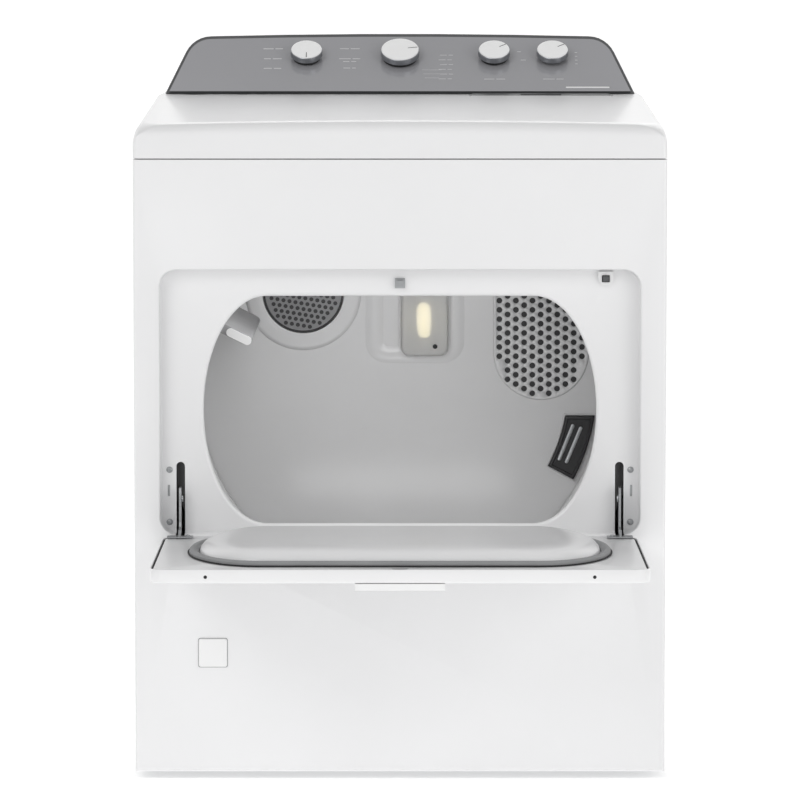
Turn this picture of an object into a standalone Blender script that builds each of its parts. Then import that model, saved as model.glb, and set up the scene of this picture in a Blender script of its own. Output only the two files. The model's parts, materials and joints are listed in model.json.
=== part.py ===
"""A 29 inch gas clothes dryer with a drop-down loading door and a lint screen in its top.

Metres. +X is to the right of a person facing the machine, +Y runs from front to back, +Z is up.
The origin is on the floor, under the middle of the box round the whole machine, door open.
"""

import math

import bmesh
import bpy
from mathutils import Matrix, Vector

# Cabinet
WIDTH = 0.737
HALF = WIDTH / 2
DEPTH = 0.700
FOOT = 0.0125
SEAM = 0.8665
SEAM_GAP = 0.0015
SHEET = 0.0012
GAP = 0.0005
FLANGE = 0.018
PAN_HEIGHT = 0.030
PAN_SHEET = 0.0015
FOOT_X = 0.310
FOOT_ROWS = (("front", 0.125), ("rear", 0.630))
RETURN = 0.022

# How far the open door stands out in front, and the exhaust collar behind, of the front panel's face
DOOR_REACH = 0.3625
EXHAUST_REACH = 0.725
FRONT = (DOOR_REACH - EXHAUST_REACH) / 2
REAR = FRONT + DEPTH

# Top panel
CREST = 0.917
TOP_REAR = 0.942
CROWN = 0.005
CONSOLE_FRONT = 0.553
TOP_SIDE_INSET = 0.013
TOP_FRONT_INSET = 0.018
TOP_SIDE_ROUND = 0.028
TOP_FRONT_ROUND = 0.016

# Recess in the front panel, and the loading opening in its back wall
RECESS_HALF = 0.3325
RECESS_LOW = 0.345
RECESS_HIGH = 0.713
RECESS_DEPTH = 0.026
RECESS_RADIUS = 0.024
MOUTH_HALF = 0.273
MOUTH_FLAT = 0.185
MOUTH_LOW = 0.357
MOUTH_HIGH = 0.675

# Door and hinge. Door points are (x, d, h): d from the hinge axis along the door, h above the axis.
HINGE_Y = FRONT + 0.012
HINGE_Z = 0.336
HINGE_X = 0.305
PIN_RADIUS = 0.0040
ARM_THICK = 0.003
DOOR_HALF = 0.3285
DOOR_NEAR = 0.0165
DOOR_FAR = DOOR_REACH + 0.012
DOOR_OUTER = -0.012
DOOR_INNER = 0.0062
PLATEAU_HALF = 0.2705
PLATEAU_NEAR = 0.034
PLATEAU_FAR = 0.330
PLATEAU_TOP = 0.029
SEAL_WIDTH = 0.014
SEAL_TOP = 0.0135
HANDLE_HALF = 0.059
HANDLE_FAR = 0.3740
SWITCH_X = 0.285

# Drum
DRUM_Z = 0.503
DRUM_RADIUS = 0.331
NECK_RADIUS = 0.3035
DRUM_FRONT = FRONT + 0.046
DRUM_REAR = FRONT + 0.541
BULKHEAD = FRONT + 0.545
BULKHEAD_SHEET = 0.0015
BAFFLE_ANGLES = (154, 50, 262)
BAFFLE_CREST = 0.232
BAFFLE_HALF = 0.0075
BAFFLE_WALL = 0.0025
ROLLER_RADIUS = 0.038
ROLLER_ANGLE = 35
SHAFT_RADIUS = 0.006
BELT_Y = FRONT + 0.303
BELT_THICK = 0.002
BELT_CLEAR = 0.0012

# Motor, blower and exhaust
MOTOR_X = 0.115
MOTOR_Z = 0.128
PULLEY_RADIUS = 0.011
MOTOR_SHAFT = 0.004
EXHAUST_Z = 0.104
EXHAUST_RADIUS = 0.0508
IDLER_X = 0.0275
IDLER_Z = 0.116
IDLER_RADIUS = 0.022

# Features of the rear bulkhead
INLET_X = -0.145
INLET_Z = 0.642
INLET_RADIUS = 0.0620
OUTLET_LEFT = 0.145
OUTLET_RIGHT = 0.280
OUTLET_HIGH = 0.715
OUTLET_MIDDLE = 0.5555
OUTLET_ARC = 0.296
LENS_X = 0.037
BURNER_X = -0.200
BURNER_Z = 0.100
GAS_X = -0.300
GAS_Z = 0.075
GAS_RADIUS = 0.0085
INLET_HOLE = (-0.255, 0.800)
PLUG_X = -0.260
PLUG_Z = 0.180

# Console
CONSOLE_BASE = TOP_REAR + GAP
CONSOLE_OVERLAP = 0.033
SHAFT_HOLE = 0.0045
CONSOLE_CORNER = 0.040
CORNER_X = 0.2876
CORNER_Z = 0.9865
SIDE_LEAN = math.radians(24)
CONSOLE_TILT = math.radians(33.7)
FASCIA_THICK = 0.0025
KNOB_V = 0.0933
KNOB_FOOT = 0.0060
KNOB_HIGH = 0.0172
STUB_RADIUS = 0.0030
STUB_END = -0.0060
START_TRAVEL = 0.004
MODULE_GAP = 0.0006
MODULE_BACK = -0.0300
KNOBS = {
    "temperature": (-0.141, 0.024),
    "timer": (0.0, 0.0293),
    "signal": (0.142, 0.024),
    "start": (0.230, 0.024),
}

# Lint screen
LINT_X = 0.210
LINT_Y = FRONT + 0.532
LINT_Z = 0.9415
LINT_TILT = math.radians(14)
LINT_LENGTH = 0.360

SHARP = math.radians(32)

WHITE = ("white_enamel", (0.86, 0.86, 0.86), 0.30, 0.0)
DARK_GREY = ("dark_grey_plastic", (0.10, 0.10, 0.105), 0.40, 0.0)
GREY = ("grey_gloss", (0.29, 0.29, 0.30), 0.18, 0.0)
KNOB_WHITE = ("knob_white", (0.88, 0.88, 0.88), 0.35, 0.0)
STEEL = ("zinc_steel", (0.55, 0.56, 0.57), 0.35, 0.9)
DRUM_WHITE = ("drum_enamel", (0.55, 0.55, 0.56), 0.35, 0.0)
RUBBER = ("grey_rubber", (0.25, 0.25, 0.26), 0.75, 0.0)
BLACK = ("black_plastic", (0.02, 0.02, 0.02), 0.45, 0.0)
GALVANISED = ("galvanised", (0.48, 0.49, 0.50), 0.45, 0.8)
LENS = ("lens_plastic", (0.85, 0.82, 0.70), 0.25, 0.0)
BULB = ("bulb_glass", (1.0, 0.85, 0.45), 0.20, 0.0)
FELT = ("felt", (0.40, 0.40, 0.38), 0.95, 0.0)


def material(look):
    name, colour, roughness, metallic = look
    found = bpy.data.materials.get(name)
    if found:
        return found
    made = bpy.data.materials.new(name)
    made.use_nodes = True
    shader = made.node_tree.nodes["Principled BSDF"]
    shader.inputs["Base Color"].default_value = (*colour, 1.0)
    shader.inputs["Roughness"].default_value = roughness
    shader.inputs["Metallic"].default_value = metallic
    return made


def axis_empty(name, place):
    """An empty on a joint's axis, which the pieces of that moving body hang on."""
    empty = bpy.data.objects.new(name, None)
    empty.location = place
    empty.empty_display_size = 0.05
    bpy.context.collection.objects.link(empty)
    return empty


def face_towards(bm, outward):
    """Turns an open skin so that its face furthest along outward also faces that way."""
    leading = max(bm.faces, key=lambda face: face.calc_center_median().dot(outward))
    if leading.normal.dot(outward) < 0:
        bmesh.ops.reverse_faces(bm, faces=bm.faces)


def solid(name, bm, look, parent=None, origin=None, matrix=None, outward=None):
    """Makes an object of a shape. The shape is in world space, unless a matrix places it.

    The object's own origin is the parent's, or the given one. Outward is for an open skin.
    """
    bmesh.ops.recalc_face_normals(bm, faces=bm.faces)
    if outward:
        face_towards(bm, Vector(outward))
    if parent:
        origin = parent.location
    if origin:
        bmesh.ops.translate(bm, verts=bm.verts, vec=-Vector(origin))
    mesh = bpy.data.meshes.new(name)
    bm.to_mesh(mesh)
    bm.free()
    mesh.materials.append(material(look))
    mesh.shade_smooth()
    mesh.set_sharp_from_angle(angle=SHARP)
    obj = bpy.data.objects.new(name, mesh)
    bpy.context.collection.objects.link(obj)
    if matrix:
        obj.matrix_world = matrix
    elif parent:
        obj.parent = parent
    elif origin:
        obj.location = origin
    return obj


def boolean(obj, operation, shapes, matrix=None):
    """Cuts or joins closed shapes in world space, each through a hidden helper object."""
    for shape in shapes:
        step = f"{operation.lower()}_{len(obj.modifiers)}"
        helper = solid(f"{obj.name}_{step}", shape, BLACK, matrix=matrix)
        helper.hide_render = True
        helper.display_type = "WIRE"
        modifier = obj.modifiers.new(step, "BOOLEAN")
        modifier.operation = operation
        modifier.object = helper
        modifier.solver = "EXACT"


def cut(obj, *shapes, matrix=None):
    boolean(obj, "DIFFERENCE", shapes, matrix)


def join(obj, *shapes, matrix=None):
    boolean(obj, "UNION", shapes, matrix)


def thicken(obj, thickness):
    """Gives an open skin its thickness, on the side that its faces point away from."""
    modifier = obj.modifiers.new("sheet", "SOLIDIFY")
    modifier.thickness = thickness
    modifier.offset = -1
    modifier.use_even_offset = True


def place(axis, a, b, h):
    return {"X": (h, a, b), "Y": (a, h, b), "Z": (a, b, h)}[axis]


def loop(bm, outline, axis, h):
    return [bm.verts.new(place(axis, a, b, h)) for a, b in outline]


def band(bm, *loops):
    """Joins each loop to the next one."""
    for first, second in zip(loops, loops[1:]):
        for i in range(len(first)):
            bm.faces.new((first[i - 1], first[i], second[i], second[i - 1]))


def fill(bm, *loops):
    """Fills the flat region between an outer loop and the loops inside it."""
    edges = []
    for verts in loops:
        for i in range(len(verts)):
            ends = (verts[i - 1], verts[i])
            edges.append(bm.edges.get(ends) or bm.edges.new(ends))
    bmesh.ops.triangle_fill(bm, use_beauty=True, use_dissolve=False, edges=edges)


def lofted(sections, axis, closed=False):
    """Joins outlines of one point count. Closed makes a ring, otherwise both ends are capped."""
    bm = bmesh.new()
    loops = [loop(bm, outline, axis, h) for outline, h in sections]
    band(bm, *loops)
    if closed:
        band(bm, loops[-1], loops[0])
    else:
        bm.faces.new(loops[0])
        bm.faces.new(loops[-1])
    return bm


def prism(outline, axis, start, end):
    return lofted([(outline, start), (outline, end)], axis)


def plate(outer, holes, axis, start, end):
    """A flat plate with holes in it."""
    bm = bmesh.new()
    faces = []
    for h in (start, end):
        loops = [loop(bm, outline, axis, h) for outline in (outer, *holes)]
        fill(bm, *loops)
        faces.append(loops)
    for first, second in zip(*faces):
        band(bm, first, second)
    return bm


def box(low, high):
    (x0, y0, z0), (x1, y1, z1) = low, high
    return prism([(x0, y0), (x1, y0), (x1, y1), (x0, y1)], "Z", z0, z1)


def arc(centre, radius, start, end, steps):
    """Points round a circle, or an ellipse when radius is a pair, in degrees."""
    a, b = radius if isinstance(radius, tuple) else (radius, radius)
    angles = [math.radians(start + (end - start) * i / steps) for i in range(steps + 1)]
    return [(centre[0] + a * math.cos(t), centre[1] + b * math.sin(t)) for t in angles]


def circle(centre, radius, steps=28):
    return arc(centre, radius, 0, 360, steps)[:-1]


def rounded(half, low, high, radius, steps=4, middle=0.0):
    """A rectangle with round corners, half its width to each side of the middle."""
    x = half - radius
    points = arc((middle + x, high - radius), radius, 0, 90, steps)
    points += arc((middle - x, high - radius), radius, 90, 180, steps)
    points += arc((middle - x, low + radius), radius, 180, 270, steps)
    points += arc((middle + x, low + radius), radius, 270, 360, steps)
    return points


def barrel(half, flat, low, high, steps=12):
    """Flat at the top and the bottom, with half an ellipse at each side."""
    middle = (low + high) / 2
    size = (half - flat, (high - low) / 2)
    return arc((flat, middle), size, -90, 90, steps) + arc((-flat, middle), size, 90, 270, steps)


def mouth(grow=0.0):
    return barrel(MOUTH_HALF + grow, MOUTH_FLAT, MOUTH_LOW - grow, MOUTH_HIGH + grow)


def inset(points, distance):
    """A convex outline moved inwards, whichever way round it runs."""
    turns = 0.0
    for i in range(len(points)):
        turns += points[i - 1][0] * points[i][1] - points[i][0] * points[i - 1][1]
    side = math.copysign(distance, turns)
    moved = []
    for i in range(len(points)):
        before = Vector(points[i]) - Vector(points[i - 1])
        after = Vector(points[(i + 1) % len(points)]) - Vector(points[i])
        before.normalize()
        after.normalize()
        first = Vector((-before.y, before.x))
        second = Vector((-after.y, after.x))
        shift = (first + second) / (1 + first.dot(second)) * side
        moved.append((points[i][0] + shift.x, points[i][1] + shift.y))
    return moved


def turned(profile, centre, axis="Y", segments=40, closed=False):
    """Turns (radius, position along the axis) points round an axis through the centre."""
    bm = bmesh.new()
    rings = []
    for radius, along in profile:
        if radius == 0:
            tip = bm.verts.new(place(axis, centre[0], centre[1], along))
            rings.append([tip] * segments)
        else:
            rings.append(loop(bm, circle(centre, radius, segments), axis, along))
    pairs = list(zip(rings, rings[1:]))
    if closed:
        pairs.append((rings[-1], rings[0]))
    for first, second in pairs:
        for i in range(segments):
            corners = (first[i - 1], first[i], second[i], second[i - 1])
            bm.faces.new(tuple(dict.fromkeys(corners)))
    return bm


def rod(centre, radius, axis, start, end, segments=20):
    return prism(circle(centre, radius, segments), axis, start, end)


def top_height(x, y):
    """Height of the top panel's outer face, before its edges round off."""
    along = min((y - FRONT) / CONSOLE_FRONT, 1.0)
    crown = CROWN * (1 - along) * (1 - (x / HALF) ** 2)
    return CREST - CROWN + (TOP_REAR - CREST + CROWN) * along + crown


def cabinet_sides():
    front = FRONT + RETURN + GAP
    for name, side in (("left_side_panel", -1), ("right_side_panel", 1)):
        outer = side * HALF
        inner = side * (HALF - SHEET)
        lip = side * (HALF - FLANGE)
        outline = [(outer, front), (outer, REAR), (lip, REAR), (lip, REAR - SHEET)]
        outline += [(inner, REAR - SHEET), (inner, front + SHEET), (lip, front + SHEET)]
        outline += [(lip, front)]
        solid(name, prism(outline, "Z", FOOT, SEAM - SEAM_GAP), WHITE)


def feet_places():
    for row, y in FOOT_ROWS:
        for side, x in (("left", -FOOT_X), ("right", FOOT_X)):
            yield f"levelling_foot_{row}_{side}", x, FRONT + y


def base_and_feet():
    x = HALF - 0.002
    low, high = FRONT + RETURN + SHEET + 2 * GAP, REAR - SHEET - 2 * GAP
    outer = [(-x, low), (x, low), (x, high), (-x, high)]
    inner = inset(outer, PAN_SHEET)
    floor = FOOT + GAP
    rim = floor + PAN_HEIGHT
    sections = [(outer, floor), (outer, rim), (inner, rim), (inner, floor + PAN_SHEET)]
    pan = solid("base_pan", lofted(sections, "Z"), GALVANISED)
    pad, stem, stem_top = 0.019, 0.0055, 0.034
    profile = [(0, 0), (pad, 0), (pad, 0.006), (0.014, 0.010), (stem, 0.011), (stem, stem_top)]
    for name, x, y in feet_places():
        cut(pan, rod((x, y), stem + 0.001, "Z", 0, rim + 0.01))
        shape = turned([*profile, (0, stem_top)], (x, y), "Z", 24)
        solid(name, shape, BLACK, origin=(x, y, 0))


def rectangle(shrink=0.0):
    x = HALF - shrink
    return [(-x, FOOT + shrink), (x, FOOT + shrink), (x, SEAM - SEAM_GAP), (-x, SEAM - SEAM_GAP)]


def recess(grow=0.0):
    low, high = RECESS_LOW - grow, RECESS_HIGH + grow
    return rounded(RECESS_HALF + grow, low, high, RECESS_RADIUS + grow, steps=6)


def front_panel():
    """One pressed sheet: wrapped edges, the door's recess, and the rolled rim of the opening."""
    bm = bmesh.new()
    back = FRONT + RECESS_DEPTH
    edge = ((0.0, RETURN), (0.0, 0.004), (0.0012, 0.0012), (0.004, 0.0))
    skin = [loop(bm, rectangle(shrink), "Y", FRONT + y) for shrink, y in edge]
    walls = ((0.002, 0.0), (0.0006, 0.0006), (0.0, 0.002), (0.0, RECESS_DEPTH - 0.003))
    well = [loop(bm, recess(grow), "Y", FRONT + y) for grow, y in walls]
    well.append(loop(bm, recess(-0.003), "Y", back))
    roll = ((0.004, 0.0), (0.001, 0.0012), (0.0, 0.004), (0.0, 0.012))
    rim = [loop(bm, mouth(grow), "Y", back + y) for grow, y in roll]
    band(bm, *skin)
    band(bm, *well)
    band(bm, *rim)
    fill(bm, skin[-1], well[0])
    fill(bm, well[-1], rim[0])
    panel = solid("front_panel", bm, WHITE, outward=(0, -1, 0))
    thicken(panel, SHEET)
    half, low, high = 0.006, 0.3285, 0.438
    for x in (-HINGE_X, HINGE_X):
        slot = [(x - half, low), (x + half, low)] + arc((x, high), half, 0, 180, 6)
        cut(panel, prism(slot, "Y", FRONT - 0.01, back + 0.008))
    half = 0.0065
    switch_low = (SWITCH_X - half, back - 0.006, 0.6925)
    cut(panel, box(switch_low, (SWITCH_X + half, back + 0.008, 0.7060)))
    half = 0.0185
    plug_low = (PLUG_X - half, FRONT - 0.01, PLUG_Z - half)
    cut(panel, box(plug_low, (PLUG_X + half, FRONT + 0.01, PLUG_Z + half)))


def access_plug():
    """A push-in plug: a collar in the front panel's hole and a flat cap over its edge."""
    sections = []
    collar, cap = 0.0180, 0.01975
    rows = ((collar, 0.0080), (collar, -GAP), (cap, -GAP), (cap, -0.0013), (0.0185, -0.0022))
    for half, y in rows:
        outline = rounded(half, PLUG_Z - half, PLUG_Z + half, 0.003, 2, middle=PLUG_X)
        sections.append((outline, FRONT + y))
    solid("gas_access_plug", lofted(sections, "Y"), WHITE)


def top_section(turn):
    """One level of the top panel's edge. turn goes from 0, the side's top, to 1, the flat top."""
    rise = math.sin(math.radians(90 * turn))
    inward = 1 - math.cos(math.radians(90 * turn))
    x = HALF - TOP_SIDE_INSET * inward
    y = FRONT + 0.001 + TOP_FRONT_INSET * inward
    corner = 0.006 + 0.036 * turn
    left = arc((-x + corner, y + corner), corner, 180, 270, 6)
    right = arc((x - corner, y + corner), corner, 270, 360, 6)
    sides = [(-x, REAR), (-x, FRONT + CONSOLE_FRONT), (-x, FRONT + 0.3)]
    middle = [(-0.16, y), (0.0, y), (0.16, y)]
    points = sides + left + middle + right + [(-px, py) for px, py in reversed(sides)]
    section = []
    for px, py in points:
        frontness = max(0.0, 1 - (py - y) / corner)
        radius = TOP_SIDE_ROUND + (TOP_FRONT_ROUND - TOP_SIDE_ROUND) * frontness
        section.append((px, py, top_height(px, py) - radius * (1 - rise)))
    return section


def top_panel():
    """A shallow lid: upright edge, round shoulder, and a crowned top in two rings and a middle."""
    levels = 6
    base = [(px, max(py - 0.001, FRONT), SEAM) for px, py, _ in top_section(0)]
    sections = [base] + [top_section(i / levels) for i in range(levels + 1)]
    middle_y = FRONT + 0.38
    for scale in (0.80, 0.45):
        shrunk = []
        for px, py, _ in sections[levels + 1]:
            x, y = px * scale, middle_y + (py - middle_y) * scale
            shrunk.append((x, y, top_height(x, y)))
        sections.append(shrunk)
    bm = bmesh.new()
    loops = [[bm.verts.new(point) for point in section] for section in sections]
    band(bm, *loops)
    fill(bm, loops[-1])
    panel = solid("top_panel", bm, WHITE, outward=(0, 0, 1))
    thicken(panel, SHEET)
    slot = prism(rectangle_loop(0.1075, 0.0105), "Z", -0.03, 0.03)
    cut(panel, slot, matrix=lint_frame())


def rear_panel():
    outer = rounded(0.3605, 0.030, 0.862, 0.006, 2)
    holes = [circle((0, EXHAUST_Z), EXHAUST_RADIUS + 0.0017)]
    holes += [circle((GAS_X, GAS_Z), GAS_RADIUS + 0.0025, 16), circle(INLET_HOLE, 0.0105, 16)]
    start = REAR + GAP
    solid("rear_panel", plate(outer, holes, "Y", start, start + SHEET), GALVANISED)
    gland = [(0.0070, 0.0), (0.0095, 0.0), (0.0095, 0.0040), (0.0165, 0.0045)]
    gland += [(0.0150, 0.0100), (0.0070, 0.0110)]
    profile = [(radius, REAR - 0.0015 + along) for radius, along in gland]
    shape = turned(profile, INLET_HOLE, segments=24, closed=True)
    solid("power_inlet_gland", shape, BLACK)


def console_outline(shrink, drop=0.0):
    """The console seen from the front: leaning sides, round top corners and a crowned top edge."""
    radius = CONSOLE_CORNER - shrink
    lean = math.degrees(SIDE_LEAN)
    right = arc((CORNER_X, CORNER_Z), radius, lean, 90, 6)
    base = CONSOLE_BASE - drop
    foot = (right[0][0] + (right[0][1] - base) * math.tan(SIDE_LEAN), base)
    crown = []
    for share in (0.6, 0.2):
        crown.append((CORNER_X * share, CORNER_Z + radius + 0.0035 * (1 - share**2)))
    half = [foot, *right, *crown]
    return half + [(-x, z) for x, z in reversed(half)]


def console_normal():
    return Vector((0, -math.sin(CONSOLE_TILT), math.cos(CONSOLE_TILT)))


def console_frame(x, v):
    """A frame on the fascia: its Z points out of the fascia, and its Y up the slope."""
    y = FRONT + CONSOLE_FRONT + v * math.cos(CONSOLE_TILT)
    z = CONSOLE_BASE + v * math.sin(CONSOLE_TILT)
    return Matrix.Translation((x, y, z)) @ Matrix.Rotation(CONSOLE_TILT, 4, "X")


def slice_console(bm, offset, keep_below=True):
    """Cuts a shape by the fascia's plane, moved out by offset, and closes it again."""
    normal = console_normal()
    point = Vector((0, FRONT + CONSOLE_FRONT, CONSOLE_BASE)) + normal * offset
    result = bmesh.ops.bisect_plane(
        bm,
        geom=[*bm.verts, *bm.edges, *bm.faces],
        dist=1e-6,
        plane_co=point,
        plane_no=normal,
        clear_outer=keep_below,
        clear_inner=not keep_below,
    )
    edges = [item for item in result["geom_cut"] if isinstance(item, bmesh.types.BMEdge)]
    bmesh.ops.holes_fill(bm, edges=edges, sides=0)
    return bm


def console():
    front, back = FRONT + CONSOLE_FRONT - CONSOLE_OVERLAP, REAR - 0.001
    rim_drop, wall, margin = 0.003, 0.0025, 0.004
    shape = slice_console(prism(console_outline(0), "Y", front, back), -rim_drop)
    housing = solid("console_housing", shape, DARK_GREY)
    hollow = prism(console_outline(wall, drop=0.02), "Y", front - 0.05, back - wall)
    cut(housing, slice_console(hollow, -rim_drop - wall))
    shape = prism(console_outline(margin, drop=GAP - margin), "Y", front, back)
    shape = slice_console(slice_console(shape, 0), -FASCIA_THICK, keep_below=False)
    fascia = solid("console_fascia", shape, GREY)
    for x, _ in KNOBS.values():
        for pierced in (fascia, housing):
            hole = rod((0, 0), SHAFT_HOLE, "Z", -0.02, 0.02, 16)
            cut(pierced, hole, matrix=console_frame(x, KNOB_V))


def knobs_and_switches():
    """A knob's stub reaches its switch behind the fascia; the start switch leaves room for the push."""
    modules = {
        "timer": ("timer_module", 0.034, STUB_END - MODULE_GAP),
        "temperature": ("temperature_switch", 0.022, STUB_END - MODULE_GAP),
        "signal": ("signal_switch", 0.020, STUB_END - MODULE_GAP),
        "start": ("start_switch", 0.018, STUB_END - START_TRAVEL - MODULE_GAP),
    }
    for name, (x, radius) in KNOBS.items():
        frame = console_frame(x, KNOB_V)
        profile = [(0, STUB_END), (STUB_RADIUS, STUB_END), (STUB_RADIUS, KNOB_FOOT)]
        profile += [(radius - 0.004, KNOB_FOOT), (radius - 0.0005, KNOB_FOOT + 0.0002)]
        profile += [(radius, KNOB_FOOT + 0.0012), (radius * 0.985, KNOB_HIGH - 0.0022)]
        profile += [(radius * 0.93, KNOB_HIGH - 0.0002), (0, KNOB_HIGH)]
        solid(f"{name}_knob", turned(profile, (0, 0), "Z", 24), KNOB_WHITE, matrix=frame)
        module, half, top = modules[name]
        shape = prism(rounded(half, -0.020, 0.020, 0.003, 2), "Z", MODULE_BACK, top)
        solid(module, shape, BLACK, matrix=frame)


def door_point(d, h):
    return HINGE_Y - d, HINGE_Z + h


def door_outline(shrink):
    """The door's edge, seen from above while it is open."""
    low = HINGE_Y - DOOR_FAR + shrink
    return rounded(DOOR_HALF - shrink, low, HINGE_Y - DOOR_NEAR - shrink, 0.020 - shrink, 5)


def plateau(shrink):
    low, high = HINGE_Y - PLATEAU_FAR + shrink, HINGE_Y - PLATEAU_NEAR - shrink
    return barrel(PLATEAU_HALF - shrink, MOUTH_FLAT, low, high)


def door_outer_panel(pivot):
    edge = DOOR_OUTER + 0.003
    skin = ((0.003, DOOR_OUTER), (0.0008, DOOR_OUTER + 0.0008), (0.0, edge), (0.0, DOOR_INNER))
    lining = ((SHEET, DOOR_INNER), (SHEET, edge), (0.0035, DOOR_OUTER + SHEET))
    sections = [(door_outline(shrink), HINGE_Z + h) for shrink, h in skin + lining]
    solid("door_outer_panel", lofted(sections, "Z"), WHITE, parent=pivot)


def door_inner_panel(pivot):
    """A pressed sheet with the plateau that fills the opening, let into the outer panel."""
    bm = bmesh.new()
    face = HINGE_Z + DOOR_INNER - 0.0006
    edge = [loop(bm, door_outline(0.0018), "Z", face - lip) for lip in (0.008, 0.0)]
    dome = [loop(bm, plateau(0.0), "Z", face)]
    for shrink, drop in ((0.0, 0.006), (0.0018, 0.0018), (0.006, 0.0)):
        dome.append(loop(bm, plateau(shrink), "Z", HINGE_Z + PLATEAU_TOP - drop))
    band(bm, *edge)
    band(bm, *dome)
    fill(bm, edge[-1], dome[0])
    fill(bm, dome[-1])
    inner = solid("door_inner_panel", bm, WHITE, parent=pivot, outward=(0, 0, 1))
    thicken(inner, 0.001)
    near, far = HINGE_Y - 0.364, HINGE_Y - 0.350
    cut(inner, box((-0.010, near, HINGE_Z - 0.004), (0.010, far, HINGE_Z + 0.010)))


def door_fittings(pivot):
    low, high = HINGE_Z + DOOR_INNER + GAP, HINGE_Z + SEAL_TOP
    seal = ((-SEAL_WIDTH, low), (-SEAL_WIDTH, high - 0.002), (-SEAL_WIDTH + 0.003, high))
    seal += ((-0.004, high), (-GAP, high - 0.002), (-GAP, low))
    sections = [(plateau(shrink), h) for shrink, h in seal]
    solid("door_seal", lofted(sections, "Z", closed=True), RUBBER, parent=pivot)

    near, far = 0.350, HANDLE_FAR
    under = DOOR_OUTER - GAP
    profile = ((near, under), (far, under), (far, under - 0.0080), (far - 0.0025, under - 0.0090))
    profile += ((0.3700, under - 0.0070), (0.3690, under - 0.0025), (near, under - 0.0020))
    outline = [door_point(d, h) for d, h in profile]
    shape = prism(outline, "X", -HANDLE_HALF, HANDLE_HALF)
    solid("door_handle", shape, WHITE, parent=pivot)

    outer = rounded(0.012, HINGE_Y - 0.366, HINGE_Y - 0.348, 0.002, 2)
    slot = rounded(0.007, HINGE_Y - 0.3625, HINGE_Y - 0.3515, 0.001, 2)
    strike = plate(outer, [slot], "Z", HINGE_Z - 0.0050, HINGE_Z + 0.0035)
    solid("door_strike", strike, STEEL, parent=pivot)


def hinge_arm(name, side, pivot):
    """An upright plate with a tail that stands in the slot, and a foot on the door's lining."""
    points = [(0.034, 0.0074), (0.009, 0.0074)]
    points += [(-y, z) for y, z in arc((0, 0), 0.0110, 145, 395, 14)]
    points += [(-0.008, 0.066), (-0.005, 0.0735), (0.0, 0.075), (0.005, 0.0735)]
    points += [(0.008, 0.066), (0.008, 0.026), (0.011, 0.020), (0.016, 0.018), (0.034, 0.018)]
    outline = [door_point(d, h) for d, h in points]
    bore = circle((HINGE_Y, HINGE_Z), PIN_RADIUS + 0.0004, 20)
    x = side * HINGE_X
    shape = plate(outline, [bore], "X", x - ARM_THICK / 2, x + ARM_THICK / 2)
    arm = solid(name, shape, STEEL, parent=pivot)
    ends = sorted((side * 0.2865, side * 0.322))
    bottom = HINGE_Z + DOOR_INNER + 0.0006
    low_corner = (ends[0], HINGE_Y - 0.0335, bottom)
    join(arm, box(low_corner, (ends[1], HINGE_Y - 0.0185, bottom + 0.0022)))


def door():
    pivot = axis_empty("door_axis", (0, HINGE_Y, HINGE_Z))
    door_outer_panel(pivot)
    door_inner_panel(pivot)
    door_fittings(pivot)
    hinge_arm("hinge_arm_left", -1, pivot)
    hinge_arm("hinge_arm_right", 1, pivot)


def hinge_brackets():
    """Each is an upright plate beside its slot, with a screw tab and the pin the arm turns on."""
    for name, side in (("hinge_bracket_left", -1), ("hinge_bracket_right", 1)):
        points = [(-0.0085, -0.016), (0.045, -0.016), (0.045, 0.115)]
        points += [(0.0175, 0.115), (0.0175, 0.0065), (-0.0085, 0.0065)]
        outline = [(HINGE_Y + y, HINGE_Z + z) for y, z in points]
        ends = sorted((side * 0.3125, side * 0.3145))
        bracket = solid(name, prism(outline, "X", *ends), GALVANISED)
        tab = sorted((side * 0.3130, side * 0.332))
        start = FRONT + RECESS_DEPTH + 0.0036
        join(bracket, box((tab[0], start, 0.350), (tab[1], start + 0.002, 0.447)))
        pin = sorted((side * 0.3005, side * 0.3135))
        join(bracket, rod((HINGE_Y, HINGE_Z), PIN_RADIUS, "X", *pin))


def catch_and_switch():
    wall = FRONT + RECESS_DEPTH - GAP
    catch_base = [(-0.007, 0.686), (0.007, 0.686), (0.007, 0.700), (-0.007, 0.700)]
    prong = inset(catch_base, 0.003)
    sections = [(catch_base, wall), (catch_base, wall - 0.0015)]
    sections += [(prong, wall - 0.0017), (prong, FRONT + 0.0145)]
    solid("door_catch", lofted(sections, "Y"), STEEL)
    x, half, high, low = SWITCH_X, 0.0105, 0.7092, 0.7010
    outer = [(x - half, high), (x - half, low)] + arc((x, low), half, 180, 360, 8)
    outer.append((x + half, high))
    hole = rounded(0.0055, 0.6945, 0.7045, 0.001, 2, middle=x)
    shape = plate(outer, [hole], "Y", FRONT + 0.0195, wall)
    solid("door_switch_housing", shape, WHITE)
    head = rounded(0.0045, 0.6955, 0.7035, 0.001, 2, middle=x)
    tip = rounded(0.0037, 0.6963, 0.7027, 0.001, 2, middle=x)
    start = FRONT + 0.0140
    sections = [(tip, start), (head, start + 0.0010), (head, start + 0.0190)]
    solid("door_switch_plunger", lofted(sections, "Y"), DARK_GREY, origin=(x, start, 0.6995))


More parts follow.
